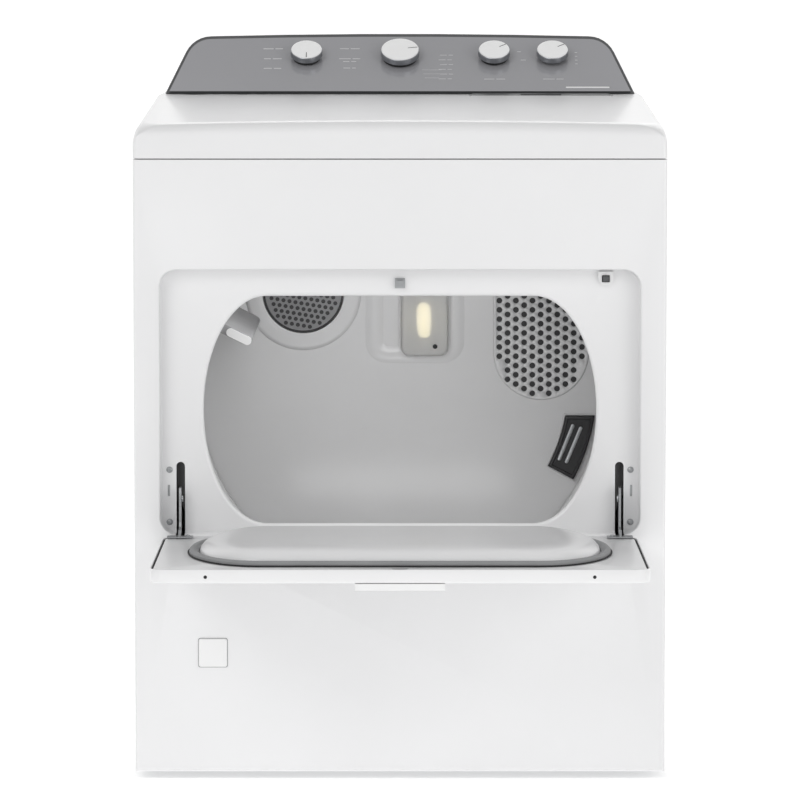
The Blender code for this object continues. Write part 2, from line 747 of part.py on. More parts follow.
def drum():
    pivot = axis_empty("drum_axis", (0, FRONT + 0.29, DRUM_Z))
    rear_neck = NECK_RADIUS + 0.0015
    outer = [(NECK_RADIUS, DRUM_FRONT), (NECK_RADIUS, FRONT + 0.060)]
    outer += [(DRUM_RADIUS, FRONT + 0.078), (DRUM_RADIUS, FRONT + 0.510)]
    outer += [(rear_neck, FRONT + 0.528), (rear_neck, DRUM_REAR)]
    profile = outer + [(radius - SHEET, y) for radius, y in reversed(outer)]
    shape = turned(profile, (0, DRUM_Z), segments=56, closed=True)
    solid("drum_shell", shape, DRUM_WHITE, parent=pivot)
    outside = ((0.098, 0.8), (0.108, 1.0), (0.478, 1.0), (0.488, 0.8))
    inside = ((0.103, 0.78), (0.483, 0.78))
    for number, angle in enumerate(BAFFLE_ANGLES, 1):
        sections = [(baffle_outline(angle, share), FRONT + y) for y, share in outside]
        baffle = solid(f"drum_baffle_{number}", lofted(sections, "Y"), KNOB_WHITE, parent=pivot)
        sections = [(baffle_outline(angle, share, BAFFLE_WALL), FRONT + y) for y, share in inside]
        cut(baffle, lofted(sections, "Y"))


def baffle_outline(angle, share, wall=0.0):
    """A baffle's cross-section: a foot on the shell, and a round crest towards the axis."""
    foot = DRUM_RADIUS - SHEET - 0.0012
    height = (foot - BAFFLE_CREST) * share - wall
    half = BAFFLE_HALF - wall
    foot_half = half + 0.014
    crest = arc((0, height - half), half, 0, 180, 6)
    angle = math.radians(angle)
    side = math.sqrt(foot**2 - foot_half**2) - foot - wall
    points = [(foot_half, -side - 2 * wall)] + crest + [(-foot_half, -side - 2 * wall), (0, -2 * wall)]
    turned_points = []
    for across, rise in points:
        out = foot - rise
        x = out * math.cos(angle) - across * math.sin(angle)
        z = DRUM_Z + out * math.sin(angle) + across * math.cos(angle)
        turned_points.append((x, z))
    return turned_points


def roller_centre(side):
    reach = DRUM_RADIUS + ROLLER_RADIUS + GAP
    angle = math.radians(ROLLER_ANGLE)
    return side * reach * math.sin(angle), DRUM_Z - reach * math.cos(angle)


def drum_support():
    for name, side in (("drum_roller_left", -1), ("drum_roller_right", 1)):
        centre = roller_centre(side)
        start, end, chamfer = FRONT + 0.478, FRONT + 0.503, 0.002
        bore = SHAFT_RADIUS + 0.0004
        half = [(bore, start), (ROLLER_RADIUS - chamfer, start), (ROLLER_RADIUS, start + chamfer)]
        profile = half + [(radius, start + end - y) for radius, y in reversed(half)]
        shape = turned(profile, centre, segments=24, closed=True)
        solid(name, shape, BLACK, origin=(centre[0], (start + end) / 2, centre[1]))
    profile = [(0.2900, 0.0280), (0.3010, 0.0280), (0.3010, 0.0520), (0.2900, 0.0520)]
    profile = [(radius, FRONT + y) for radius, y in profile]
    shape = turned(profile, (0, DRUM_Z), segments=40, closed=True)
    solid("front_drum_seal", shape, FELT)


def belt_path(grow):
    """The outline of a belt round the drum and the motor's pulley."""
    large, small = DRUM_RADIUS + grow, PULLEY_RADIUS + grow
    across, down = MOTOR_X, MOTOR_Z - DRUM_Z
    heading = math.degrees(math.atan2(down, across))
    spread = math.degrees(math.acos((large - small) / math.hypot(across, down)))
    around = arc((0, DRUM_Z), large, heading + spread, heading + 360 - spread, 46)
    return around + arc((MOTOR_X, MOTOR_Z), small, heading - spread, heading + spread, 8)


def belt():
    inner, outer = belt_path(BELT_CLEAR), belt_path(BELT_CLEAR + BELT_THICK)
    low, high = BELT_Y - 0.005, BELT_Y + 0.005
    sections = [(inner, low), (inner, high), (outer, high), (outer, low)]
    solid("drum_belt", lofted(sections, "Y", closed=True), BLACK)


def motor_and_wheel():
    centre = (MOTOR_X, MOTOR_Z)
    bore = MOTOR_SHAFT + 0.0005
    half = [(bore, 0.330), (0.030, 0.330), (0.050, 0.340), (0.055, 0.348)]
    bells = half + [(0.055, 0.452), (0.050, 0.460), (0.030, 0.470), (bore, 0.470)]
    profile = [(radius, FRONT + y) for radius, y in bells]
    motor = solid("drive_motor", turned(profile, centre, segments=24, closed=True), GALVANISED)
    floor = FOOT + GAP + PAN_SHEET + 0.0006
    saddle = [(MOTOR_X - 0.045, floor), (MOTOR_X + 0.045, floor)]
    saddle += [(MOTOR_X + 0.030, 0.085), (MOTOR_X - 0.030, 0.085)]
    join(motor, prism(saddle, "Y", FRONT + 0.355, FRONT + 0.445))

    flange = PULLEY_RADIUS + 0.002
    pulley = [(0, 0.292), (flange, 0.292), (flange, 0.295), (PULLEY_RADIUS, 0.2965)]
    pulley += [(PULLEY_RADIUS, 0.3095), (flange, 0.311), (flange, 0.314)]
    pulley += [(MOTOR_SHAFT, 0.314), (MOTOR_SHAFT, 0.588), (0, 0.588)]
    profile = [(radius, FRONT + y) for radius, y in pulley]
    shape = turned(profile, centre, segments=16)
    solid("motor_shaft", shape, STEEL, origin=(MOTOR_X, BELT_Y, MOTOR_Z))
    wheel = [(bore, 0.565), (0.076, 0.565), (0.076, 0.615), (0.068, 0.615), (0.068, 0.569)]
    wheel += [(0.014, 0.569), (0.012, 0.586), (bore, 0.586)]
    profile = [(radius, FRONT + y) for radius, y in wheel]
    shape = turned(profile, centre, segments=24, closed=True)
    solid("blower_wheel", shape, DARK_GREY, origin=(MOTOR_X, FRONT + 0.565, MOTOR_Z))


def idler():
    floor, tip = FOOT + GAP + PAN_SHEET + 0.0006, IDLER_Z + 0.010
    points = [(IDLER_X - 0.020, floor), (IDLER_X + 0.020, floor)]
    points += [(IDLER_X + 0.010, tip), (IDLER_X - 0.010, tip)]
    shape = prism(points, "Y", FRONT + 0.3175, FRONT + 0.3200)
    bracket = solid("idler_bracket", shape, GALVANISED)
    centre, axle = (IDLER_X, IDLER_Z), 0.0045
    join(bracket, rod(centre, axle, "Y", FRONT + 0.292, FRONT + 0.3190))
    start, end, bore = FRONT + 0.2945, FRONT + 0.3130, axle + 0.0005
    profile = [(bore, start), (IDLER_RADIUS, start), (IDLER_RADIUS, end), (bore, end)]
    shape = turned(profile, centre, segments=24, closed=True)
    solid("idler_pulley", shape, BLACK, origin=(IDLER_X, BELT_Y, IDLER_Z))


def outlet_outline():
    """A tall window with a round foot, its right side following the drum's neck."""
    low_angle = math.degrees(math.acos(OUTLET_RIGHT / OUTLET_ARC))
    high_angle = math.degrees(math.asin((OUTLET_HIGH - DRUM_Z) / OUTLET_ARC))
    middle = (OUTLET_LEFT + OUTLET_RIGHT) / 2
    half = (OUTLET_RIGHT - OUTLET_LEFT) / 2
    points = arc((middle, OUTLET_MIDDLE), half, 180, 360, 12)
    points += arc((0, DRUM_Z), OUTLET_ARC, low_angle, high_angle, 6)
    return points + [(OUTLET_LEFT, OUTLET_HIGH)]


def lens_outline(shrink=0.0):
    low, high, radius = 0.551 + shrink, 0.668 - shrink, 0.012 - shrink * 0.5
    return rounded(0.035 - shrink, low, high, radius, 4, middle=LENS_X)


def bulkhead_panel():
    arched = arc((0, DRUM_Z), 0.326, 17.3, 162.7, 24)
    outer = [(-0.348, 0.0550), (0.348, 0.0550), (0.348, 0.600), *arched, (-0.348, 0.600)]
    holes = [circle((INLET_X, INLET_Z), INLET_RADIUS - 0.006), inset(outlet_outline(), 0.006)]
    holes += [circle((MOTOR_X, MOTOR_Z), 0.014, 20), circle((BURNER_X, BURNER_Z), 0.0535)]
    holes += [circle((GAS_X, GAS_Z), GAS_RADIUS + 0.0035, 16)]
    holes += [rounded(0.019, 0.575, 0.632, 0.004, 2, middle=LENS_X)]
    shape = plate(outer, holes, "Y", BULKHEAD, BULKHEAD + BULKHEAD_SHEET)
    panel = solid("rear_bulkhead", shape, DRUM_WHITE)
    for side in (-1, 1):
        shaft = rod(roller_centre(side), SHAFT_RADIUS, "Y", FRONT + 0.474, BULKHEAD + 0.004)
        join(panel, shaft)


def bulkhead_fittings():
    front = BULKHEAD - GAP
    rim = [(0, -0.0040), (0.030, -0.0035), (0.050, -0.0020), (INLET_RADIUS, -0.0015)]
    profile = [(radius, front + y) for radius, y in [*rim, (INLET_RADIUS, 0.0), (0, 0.0)]]
    solid("inlet_grille", turned(profile, (INLET_X, INLET_Z), segments=28), STEEL)
    solid("outlet_grille", prism(outlet_outline(), "Y", front - 0.0015, front), DARK_GREY)

    wall = 0.0020
    lens = ((wall, -0.0155), (wall, 0.0), (0.0, 0.0), (0.0, -0.0150), (0.0030, -0.0180))
    sections = [(lens_outline(shrink), front + y) for shrink, y in lens]
    solid("light_lens", lofted(sections, "Y"), LENS)
    glass = [(0, 0.580), (0.006, 0.580), (0.007, 0.592), (0.013, 0.602), (0.0135, 0.610)]
    glass += [(0.009, 0.620), (0, 0.6235)]
    solid("light_bulb", turned(glass, (LENS_X - 0.001, BULKHEAD + 0.003), "Z", 20), BULB)

    outer, inner, high, end = 0.295, 0.252, 0.460 - DRUM_Z, -28
    outer_start = math.degrees(math.asin(high / outer))
    inner_start = math.degrees(math.asin(high / inner))
    points = arc((0, DRUM_Z), outer, outer_start, end, 6)
    points += arc((0, DRUM_Z), inner, end, inner_start, 6)
    solid("moisture_sensor", prism(points, "Y", front - 0.008, front), BLACK)


def lint_frame():
    return Matrix.Translation((LINT_X, LINT_Y, LINT_Z)) @ Matrix.Rotation(LINT_TILT, 4, "X")


def rectangle_loop(x, y):
    return [(-x, -y), (x, -y), (x, y), (-x, y)]


def lint_chute():
    """A flat shaft under the screen's slot, with a branch to the outlet grille."""
    shaft = prism(rectangle_loop(0.1100, 0.0134), "Z", -0.500, -0.010)
    chute = solid("lint_chute", shaft, GALVANISED, matrix=lint_frame())
    lean, wall, left, right = math.tan(LINT_TILT), 0.0015, 0.138, 0.287
    low, high, start = 0.482, 0.708, BULKHEAD + BULKHEAD_SHEET + GAP
    high_end, low_end = LINT_Y + lean * (LINT_Z - high), LINT_Y + lean * (LINT_Z - low)
    branch = [(start, low), (start, high), (high_end, high), (low_end, low)]
    hollow = [(start - 0.01, low + wall), (start - 0.01, high - wall)]
    hollow += [(high_end, high - wall), (low_end, low + wall)]
    join(chute, prism(branch, "X", left, right))
    bore = prism(rectangle_loop(0.1086, 0.0120), "Z", -0.520, 0.010)
    cut(chute, bore, matrix=lint_frame())
    cut(chute, prism(hollow, "X", left + wall, right - wall))


def lint_screen():
    shape = prism(rectangle_loop(0.1050, 0.0060), "Z", -LINT_LENGTH, -0.004)
    screen = solid("lint_screen", shape, DARK_GREY, matrix=lint_frame())
    join(screen, prism(rectangle_loop(0.1045, 0.0085), "Z", -0.008, 0.0), matrix=lint_frame())


def blower():
    """A scroll round the wheel, and behind it the duct that brings the air down to it."""
    motor, exhaust = (MOTOR_X, MOTOR_Z), (0, EXHAUST_Z)
    scroll = arc(motor, 0.0930, -90, 150, 20) + [(-0.060, 0.150), (-0.060, 0.035)]
    start, end, wall = FRONT + 0.556, FRONT + 0.630, 0.002
    housing = solid("blower_housing", prism(scroll, "Y", start, end), GALVANISED)
    duct = [(0.062, 0.066), (0.172, 0.066), (0.325, 0.300), (0.325, 0.450)]
    duct += [(0.095, 0.450), (0.062, 0.200)]
    back = FRONT + 0.692
    join(housing, prism(duct, "Y", end - 0.0008, back))
    cut(housing, prism(inset(scroll, wall), "Y", start + wall, end - wall))
    hollow = inset(duct, wall)
    hollow[3], hollow[4] = (hollow[3][0], 0.470), (hollow[4][0], 0.470)
    cut(housing, prism(hollow, "Y", end + 0.0015, back - wall))
    for centre, radius in ((motor, 0.048), (exhaust, EXHAUST_RADIUS - 0.0028)):
        cut(housing, rod(centre, radius, "Y", end - 0.01, end + 0.01, 24))
    cut(housing, rod(motor, 0.008, "Y", start - 0.01, start + 0.01, 16))

    inside, near, far = EXHAUST_RADIUS - 0.001, end + GAP, FRONT + EXHAUST_REACH
    pipe = [(inside, near), (inside, far), (EXHAUST_RADIUS, far), (EXHAUST_RADIUS, near)]
    solid("exhaust_duct", turned(pipe, exhaust, segments=40, closed=True), GALVANISED)


def burner():
    wall = 0.0015
    cone = [(0.055, 0.160), (0.055, 0.300), (0.050, 0.340), (0.050, 0.5440)]
    profile = [(radius, FRONT + y) for radius, y in cone]
    profile += [(radius - wall, y) for radius, y in reversed(profile)]
    shape = turned(profile, (BURNER_X, BURNER_Z), segments=24, closed=True)
    solid("combustion_tube", shape, GALVANISED)

    outer = [(-0.262, 0.040), (-0.138, 0.040), (-0.080, 0.540), (-0.080, 0.716)]
    outer += [(-0.210, 0.716), (-0.262, 0.320)]
    inner = inset(outer, wall)
    start, end = BULKHEAD + BULKHEAD_SHEET + GAP, FRONT + 0.600
    sections = [(inner, end - wall), (inner, start), (outer, start), (outer, end)]
    solid("heat_duct", lofted(sections, "Y"), GALVANISED)

    body = box((-0.236, FRONT + 0.060, 0.078), (-0.166, FRONT + 0.118, 0.140))
    valve = solid("gas_valve", body, STEEL)
    join(valve, rod((BURNER_X, BURNER_Z), 0.010, "Y", FRONT + 0.110, FRONT + 0.180, 16))
    join(valve, rod((FRONT + 0.090, 0.090), 0.0080, "X", -0.306, -0.230, 16))
    join(valve, box((-0.311, FRONT + 0.079, 0.064), (-0.289, FRONT + 0.101, 0.101)))
    supply = rod((GAS_X, GAS_Z), GAS_RADIUS, "Y", FRONT + 0.095, FRONT + 0.722, 16)
    join(valve, supply)


def clear_scene():
    for obj in list(bpy.data.objects):
        bpy.data.objects.remove(obj)


def main():
    clear_scene()
    cabinet_sides()
    base_and_feet()
    front_panel()
    access_plug()
    top_panel()
    rear_panel()
    console()
    knobs_and_switches()
    door()
    hinge_brackets()
    catch_and_switch()
    drum()
    drum_support()
    belt()
    motor_and_wheel()
    idler()
    bulkhead_panel()
    bulkhead_fittings()
    lint_chute()
    lint_screen()
    blower()
    burner()


main()
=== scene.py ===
"""Looks of a top-filter gas clothes dryer with its drop-down door open, built round its CAD frame."""

import json
import math

import bmesh
import bpy
from mathutils import Matrix, Vector


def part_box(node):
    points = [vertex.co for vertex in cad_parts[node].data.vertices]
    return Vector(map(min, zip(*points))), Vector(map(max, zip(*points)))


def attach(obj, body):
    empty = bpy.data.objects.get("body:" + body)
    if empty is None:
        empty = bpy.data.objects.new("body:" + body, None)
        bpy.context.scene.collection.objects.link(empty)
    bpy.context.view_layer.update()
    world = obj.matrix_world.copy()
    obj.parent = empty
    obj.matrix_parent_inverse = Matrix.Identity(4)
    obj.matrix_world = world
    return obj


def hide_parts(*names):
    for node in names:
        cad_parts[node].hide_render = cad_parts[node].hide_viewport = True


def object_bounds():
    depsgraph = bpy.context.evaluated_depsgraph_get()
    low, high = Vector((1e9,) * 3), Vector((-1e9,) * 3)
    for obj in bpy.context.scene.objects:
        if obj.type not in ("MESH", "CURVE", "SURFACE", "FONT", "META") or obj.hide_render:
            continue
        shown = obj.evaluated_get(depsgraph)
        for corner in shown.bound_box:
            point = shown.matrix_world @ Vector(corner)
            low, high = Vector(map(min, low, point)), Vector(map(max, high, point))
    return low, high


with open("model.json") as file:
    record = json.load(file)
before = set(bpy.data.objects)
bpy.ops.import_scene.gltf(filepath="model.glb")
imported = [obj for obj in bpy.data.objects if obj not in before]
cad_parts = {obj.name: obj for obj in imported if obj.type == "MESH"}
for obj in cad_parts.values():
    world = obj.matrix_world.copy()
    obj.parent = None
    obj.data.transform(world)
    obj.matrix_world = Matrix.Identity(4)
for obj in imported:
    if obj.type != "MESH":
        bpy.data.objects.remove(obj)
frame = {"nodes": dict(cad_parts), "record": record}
CAD_LOW, CAD_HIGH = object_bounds()
NODES = frame["nodes"]

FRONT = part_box("front_panel")[0].y


# ---------------- materials

def link(tree, source, target):
    tree.links.new(source, target)


def node(tree, kind, **inputs):
    """A shader node with constants in its inputs; an underscore stands for a space."""
    made = tree.nodes.new(kind)
    for name, value in inputs.items():
        made.inputs[name.replace("_", " ")].default_value = value
    return made


def noise(tree, scale, detail=3.0, stretch=(1, 1, 1)):
    """Noise in the object's own metres."""
    place = tree.nodes.new("ShaderNodeTexCoord")
    mapping = node(tree, "ShaderNodeMapping", Scale=stretch)
    made = node(tree, "ShaderNodeTexNoise", Scale=scale, Detail=detail)
    link(tree, place.outputs["Object"], mapping.inputs["Vector"])
    link(tree, mapping.outputs["Vector"], made.inputs["Vector"])
    return made.outputs["Fac"]


def ramp(tree, factor, *stops):
    """A colour ramp through (position, colour) stops."""
    made = tree.nodes.new("ShaderNodeValToRGB")
    elements = made.color_ramp.elements
    while len(elements) < len(stops):
        elements.new(0.5)
    for element, (position, colour) in zip(elements, stops):
        element.position = position
        element.color = (*colour, 1.0)
    link(tree, factor, made.inputs["Fac"])
    return made.outputs["Color"]


def spread(tree, factor, low, high, start=0.3, end=0.7):
    made = node(tree, "ShaderNodeMapRange", From_Min=start, From_Max=end, To_Min=low, To_Max=high)
    link(tree, factor, made.inputs["Value"])
    return made.outputs["Result"]


def shaded(colour, amount):
    return tuple(min(1.0, channel * amount) for channel in colour)


CLOUD_EDGES = (0.30, 0.70)
GLOSS_SPREAD = 0.06


def finish_of(name, colour, roughness, metallic=0.0, vary=0.03, cloud=5.0, grain=700.0,
              bump=0.00004, stretch=(1, 1, 1), **sockets):
    """A finish with clouded tone, uneven gloss and a grain of real size.

    cloud and grain are noise scales, bump is the grain's height, and sockets sets the shader's own values.
    """
    made = bpy.data.materials.new(name)
    made.use_nodes = True
    tree = made.node_tree
    shader = tree.nodes["Principled BSDF"]
    shader.inputs["Metallic"].default_value = metallic
    for socket, value in sockets.items():
        shader.inputs[socket.replace("_", " ")].default_value = value
    tone = ramp(
        tree,
        noise(tree, cloud, 4.0),
        (CLOUD_EDGES[0], shaded(colour, 1 - vary)),
        (CLOUD_EDGES[1], shaded(colour, 1 + vary)),
    )
    link(tree, tone, shader.inputs["Base Color"])
    dull, shiny = roughness * (1 + GLOSS_SPREAD), roughness * (1 - GLOSS_SPREAD)
    gloss = spread(tree, noise(tree, cloud * 9, 2.0, stretch), shiny, dull)
    link(tree, gloss, shader.inputs["Roughness"])
    relief = node(tree, "ShaderNodeBump", Strength=1.0, Distance=bump)
    link(tree, noise(tree, grain, 2.0, stretch), relief.inputs["Height"])
    link(tree, relief.outputs["Normal"], shader.inputs["Normal"])
    return made


ENAMEL = finish_of("white_enamel", (0.83, 0.83, 0.835), 0.32, vary=0.012, grain=420.0, bump=0.00006,
                   Coat_Weight=0.35, Coat_Roughness=0.12)
SATIN = finish_of("white_plastic", (0.86, 0.86, 0.86), 0.38, vary=0.01, grain=1800.0, bump=0.00002)
FASCIA = finish_of("grey_fascia", (0.35, 0.35, 0.368), 0.14, vary=0.012, grain=2500.0, bump=0.00001,
                   Coat_Weight=0.8, Coat_Roughness=0.08)
DARK = finish_of("dark_grey_plastic", (0.085, 0.087, 0.09), 0.42, vary=0.05, grain=1500.0, bump=0.00005)
BLACK = finish_of("black_plastic", (0.018, 0.018, 0.019), 0.45, vary=0.08, grain=1500.0, bump=0.00005)
ZINC = finish_of("zinc_steel", (0.42, 0.43, 0.44), 0.36, 0.95, vary=0.08, cloud=40.0, grain=900.0,
                 bump=0.00004, stretch=(1, 1, 14))
PEWTER = finish_of("knob_metal", (0.34, 0.35, 0.37), 0.30, 0.9, vary=0.04, cloud=30.0, grain=1200.0,
                   bump=0.00002)
DRUM = finish_of("drum_enamel", (0.60, 0.60, 0.603), 0.36, vary=0.02, grain=380.0, bump=0.00006,
                 Coat_Weight=0.25, Coat_Roughness=0.15)
GASKET = finish_of("grey_rubber", (0.31, 0.315, 0.32), 0.72, vary=0.05, cloud=25.0, grain=1100.0,
                   bump=0.00008)
RUBBER = finish_of("black_rubber", (0.025, 0.025, 0.026), 0.80, vary=0.12, cloud=25.0, grain=900.0,
                   bump=0.0001)
FELT = finish_of("felt", (0.36, 0.355, 0.34), 0.95, vary=0.10, cloud=60.0, grain=1500.0, bump=0.0005,
                 Sheen_Weight=0.35, Sheen_Roughness=0.5)
LENS = finish_of("lens_plastic", (0.78, 0.78, 0.78), 0.40, vary=0.01, grain=900.0, bump=0.00003,
                 Transmission_Weight=0.60, IOR=1.35)
# The fins' finish is the drum's enamel painted darker, as painted shade on the fins' lit faces.
FIN = finish_of("fin_painted_shade", (0.30, 0.30, 0.305), 0.42, vary=0.012, grain=900.0, bump=0.00002)
CAP = finish_of("knob_white", (0.98, 0.98, 0.98), 0.36, vary=0.006, grain=1800.0, bump=0.00002)
GRILLE_GREY = finish_of("grille_grey", (0.20, 0.20, 0.205), 0.40, 0.2, vary=0.05, cloud=20.0,
                        grain=900.0)
INK = finish_of("pale_ink", (0.62, 0.62, 0.63), 0.45, vary=0.03, grain=2500.0, bump=0.00001)


def galvanised():
    """Hot-dip zinc: spangles some 7 mm across, each with its own tone and gloss."""
    made = bpy.data.materials.new("galvanised")
    made.use_nodes = True
    tree = made.node_tree
    shader = tree.nodes["Principled BSDF"]
    shader.inputs["Metallic"].default_value = 0.9
    place = tree.nodes.new("ShaderNodeTexCoord")
    cells = node(tree, "ShaderNodeTexVoronoi", Scale=150.0, Randomness=1.0)
    link(tree, place.outputs["Object"], cells.inputs["Vector"])
    split = tree.nodes.new("ShaderNodeSeparateColor")
    link(tree, cells.outputs["Color"], split.inputs["Color"])
    tone = ramp(tree, split.outputs["Red"], (0.0, (0.44, 0.45, 0.46)), (1.0, (0.52, 0.53, 0.54)))
    link(tree, tone, shader.inputs["Base Color"])
    link(tree, spread(tree, split.outputs["Green"], 0.38, 0.48, 0.0, 1.0), shader.inputs["Roughness"])
    relief = node(tree, "ShaderNodeBump", Strength=0.6, Distance=0.00004)
    link(tree, noise(tree, 600.0), relief.inputs["Height"])
    link(tree, relief.outputs["Normal"], shader.inputs["Normal"])
    return made


def mesh_cloth():
    """Lint screen: a fine woven mesh, drawn as crossed bands of tone."""
    made = finish_of("filter_mesh", (0.30, 0.31, 0.32), 0.45, 0.3, vary=0.05)
    tree = made.node_tree
    shader = tree.nodes["Principled BSDF"]
    place = tree.nodes.new("ShaderNodeTexCoord")
    waves = []
    for direction in ("X", "Z"):
        wave = node(tree, "ShaderNodeTexWave", Scale=260.0, Distortion=0.0)
        wave.bands_direction = direction
        link(tree, place.outputs["Object"], wave.inputs["Vector"])
        waves.append(wave.outputs["Fac"])
    both = tree.nodes.new("ShaderNodeMath")
    both.operation = "MULTIPLY"
    link(tree, waves[0], both.inputs[0])
    link(tree, waves[1], both.inputs[1])
    tone = ramp(tree, both.outputs[0], (0.25, (0.11, 0.11, 0.115)), (0.7, (0.012, 0.012, 0.012)))
    link(tree, tone, shader.inputs["Base Color"])
    return made


def glow():
    """The lit bulb: warm glass with a faint clouding."""
    made = finish_of("bulb_glass", (0.95, 0.72, 0.30), 0.25, vary=0.03, Emission_Strength=1.7)
    tree = made.node_tree
    shader = tree.nodes["Principled BSDF"]
    tone = ramp(tree, noise(tree, 30.0), (0.3, (1.0, 0.92, 0.60)), (0.7, (1.0, 0.96, 0.72)))
    link(tree, tone, shader.inputs["Emission Color"])
    return made


GALVANISED = galvanised()
MESH = mesh_cloth()
GLOW = glow()

FINISHES = {
    "white_enamel": ENAMEL,
    "white_plastic": SATIN,
    "grey_fascia": FASCIA,
    "dark_grey_plastic": DARK,
    "black_plastic": BLACK,
    "zinc_steel": ZINC,
    "galvanised": GALVANISED,
    "drum_enamel": DRUM,
    "grey_rubber": GASKET,
    "black_rubber": RUBBER,
    "felt": FELT,
    "lens_plastic": LENS,
    "bulb_glass": GLOW,
    "filter_mesh": MESH,
}


CAD_SHARP = math.radians(32)


def dress_nodes():
    """Gives each CAD node the finish of its slot in the record."""
    for entry in frame["record"]["subparts"]:
        mesh = NODES[entry["node"]].data
        mesh.materials.clear()
        mesh.materials.append(FINISHES[entry["material_slot"]])
        mesh.shade_smooth()
        mesh.set_sharp_from_angle(angle=CAD_SHARP)


dress_nodes()


# ---------------- shapes

SHARP = math.radians(35)


def place(axis, a, b, h):
    """The point that lies h along the axis, with a and b on the two others."""
    return {"X": (h, a, b), "Y": (a, h, b), "Z": (a, b, h)}[axis]


def arc(centre, radius, start, end, steps):
    """Points round a circle, or an ellipse when radius is a pair, in degrees."""
    a, b = radius if isinstance(radius, tuple) else (radius, radius)
    angles = [math.radians(start + (end - start) * i / steps) for i in range(steps + 1)]
    return [(centre[0] + a * math.cos(t), centre[1] + b * math.sin(t)) for t in angles]


def circle(centre, radius, steps=32):
    return arc(centre, radius, 0, 360, steps)[:-1]


def rounded(half, low, high, radius, steps=6, middle=0.0):
    """A rectangle with round corners, half its width to each side of the middle."""
    x = half - radius
    points = arc((middle + x, high - radius), radius, 0, 90, steps)
    points += arc((middle - x, high - radius), radius, 90, 180, steps)
    points += arc((middle - x, low + radius), radius, 180, 270, steps)
    points += arc((middle + x, low + radius), radius, 270, 360, steps)
    return points


def barrel(half, flat, low, high, steps=44):
    """Flat at the top and the bottom, with half an ellipse at each side."""
    middle = (low + high) / 2
    size = (half - flat, (high - low) / 2)
    return arc((flat, middle), size, -90, 90, steps) + arc((-flat, middle), size, 90, 270, steps)


def capsule(start, end, half, steps=8):
    """A bar with round ends."""
    angle = math.degrees(math.atan2(end[1] - start[1], end[0] - start[0]))
    back = arc(start, half, angle + 90, angle + 270, steps)
    return back + arc(end, half, angle - 90, angle + 90, steps)


def loop(bm, outline, axis, h):
    """One ring of points at h along the axis."""
    return [bm.verts.new(place(axis, a, b, h)) for a, b in outline]


def band(bm, *loops):
    """Joins each loop to the next one."""
    for first, second in zip(loops, loops[1:]):
        for i in range(len(first)):
            bm.faces.new((first[i - 1], first[i], second[i], second[i - 1]))


def fill(bm, *loops):
    """Fills the flat region between an outer loop and the loops inside it."""
    edges = []
    for verts in loops:
        for i in range(len(verts)):
            ends = (verts[i - 1], verts[i])
            edges.append(bm.edges.get(ends) or bm.edges.new(ends))
    bmesh.ops.triangle_fill(bm, use_beauty=True, use_dissolve=False, edges=edges)


def lofted(sections, axis, closed=False):
    """Joins outlines of one point count. Closed makes a ring, otherwise both ends are capped."""
    bm = bmesh.new()
    loops = [loop(bm, outline, axis, h) for outline, h in sections]
    band(bm, *loops)
    if closed:
        band(bm, loops[-1], loops[0])
    else:
        bm.faces.new(loops[0])
        bm.faces.new(loops[-1])
    return bm


def plate(outer, holes, axis, start, end):
    """A flat plate with holes in it."""
    bm = bmesh.new()
    sides = []
    for h in (start, end):
        loops = [loop(bm, outline, axis, h) for outline in (outer, *holes)]
        fill(bm, *loops)
        sides.append(loops)
    for first, second in zip(*sides):
        band(bm, first, second)
    return bm


def turned(profile, centre=(0, 0), axis="Z", segments=48, closed=False):
    """Turns (radius, position along the axis) points round an axis through the centre."""
    bm = bmesh.new()
    rings = []
    for radius, along in profile:
        if radius == 0:
            rings.append([bm.verts.new(place(axis, centre[0], centre[1], along))] * segments)
        else:
            rings.append(loop(bm, circle(centre, radius, segments), axis, along))
    pairs = list(zip(rings, rings[1:]))
    if closed:
        pairs.append((rings[-1], rings[0]))
    for first, second in pairs:
        for i in range(segments):
            corners = (first[i - 1], first[i], second[i], second[i - 1])
            bm.faces.new(tuple(dict.fromkeys(corners)))
    return bm


def piece(name, bm, finish, body, matrix=None, stands_for=(), outward=None, thick=0.0,
          bevel=0.0):
    """A visible piece: sharp only where it turns hard, riding a body."""
    bmesh.ops.recalc_face_normals(bm, faces=bm.faces)
    if outward:
        leading = max(bm.faces, key=lambda face: face.calc_center_median().dot(Vector(outward)))
        if leading.normal.dot(Vector(outward)) < 0:
            bmesh.ops.reverse_faces(bm, faces=bm.faces)
    if matrix:
        bmesh.ops.transform(bm, matrix=matrix, verts=bm.verts)
    mesh = bpy.data.meshes.new(name)
    bm.to_mesh(mesh)
    bm.free()
    mesh.materials.append(finish)
    mesh.shade_smooth()
    mesh.set_sharp_from_angle(angle=SHARP)
    made = bpy.data.objects.new(name, mesh)
    bpy.context.scene.collection.objects.link(made)
    if thick:
        sheet = made.modifiers.new("sheet", "SOLIDIFY")
        sheet.thickness = thick
        sheet.offset = -1
        sheet.use_even_offset = True
    if bevel:
        edge = made.modifiers.new("edge", "BEVEL")
        edge.width = bevel
        edge.segments = 3
        edge.limit_method = "ANGLE"
        edge.angle_limit = SHARP
    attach(made, body)
    if stands_for:
        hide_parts(*stands_for)
    return made


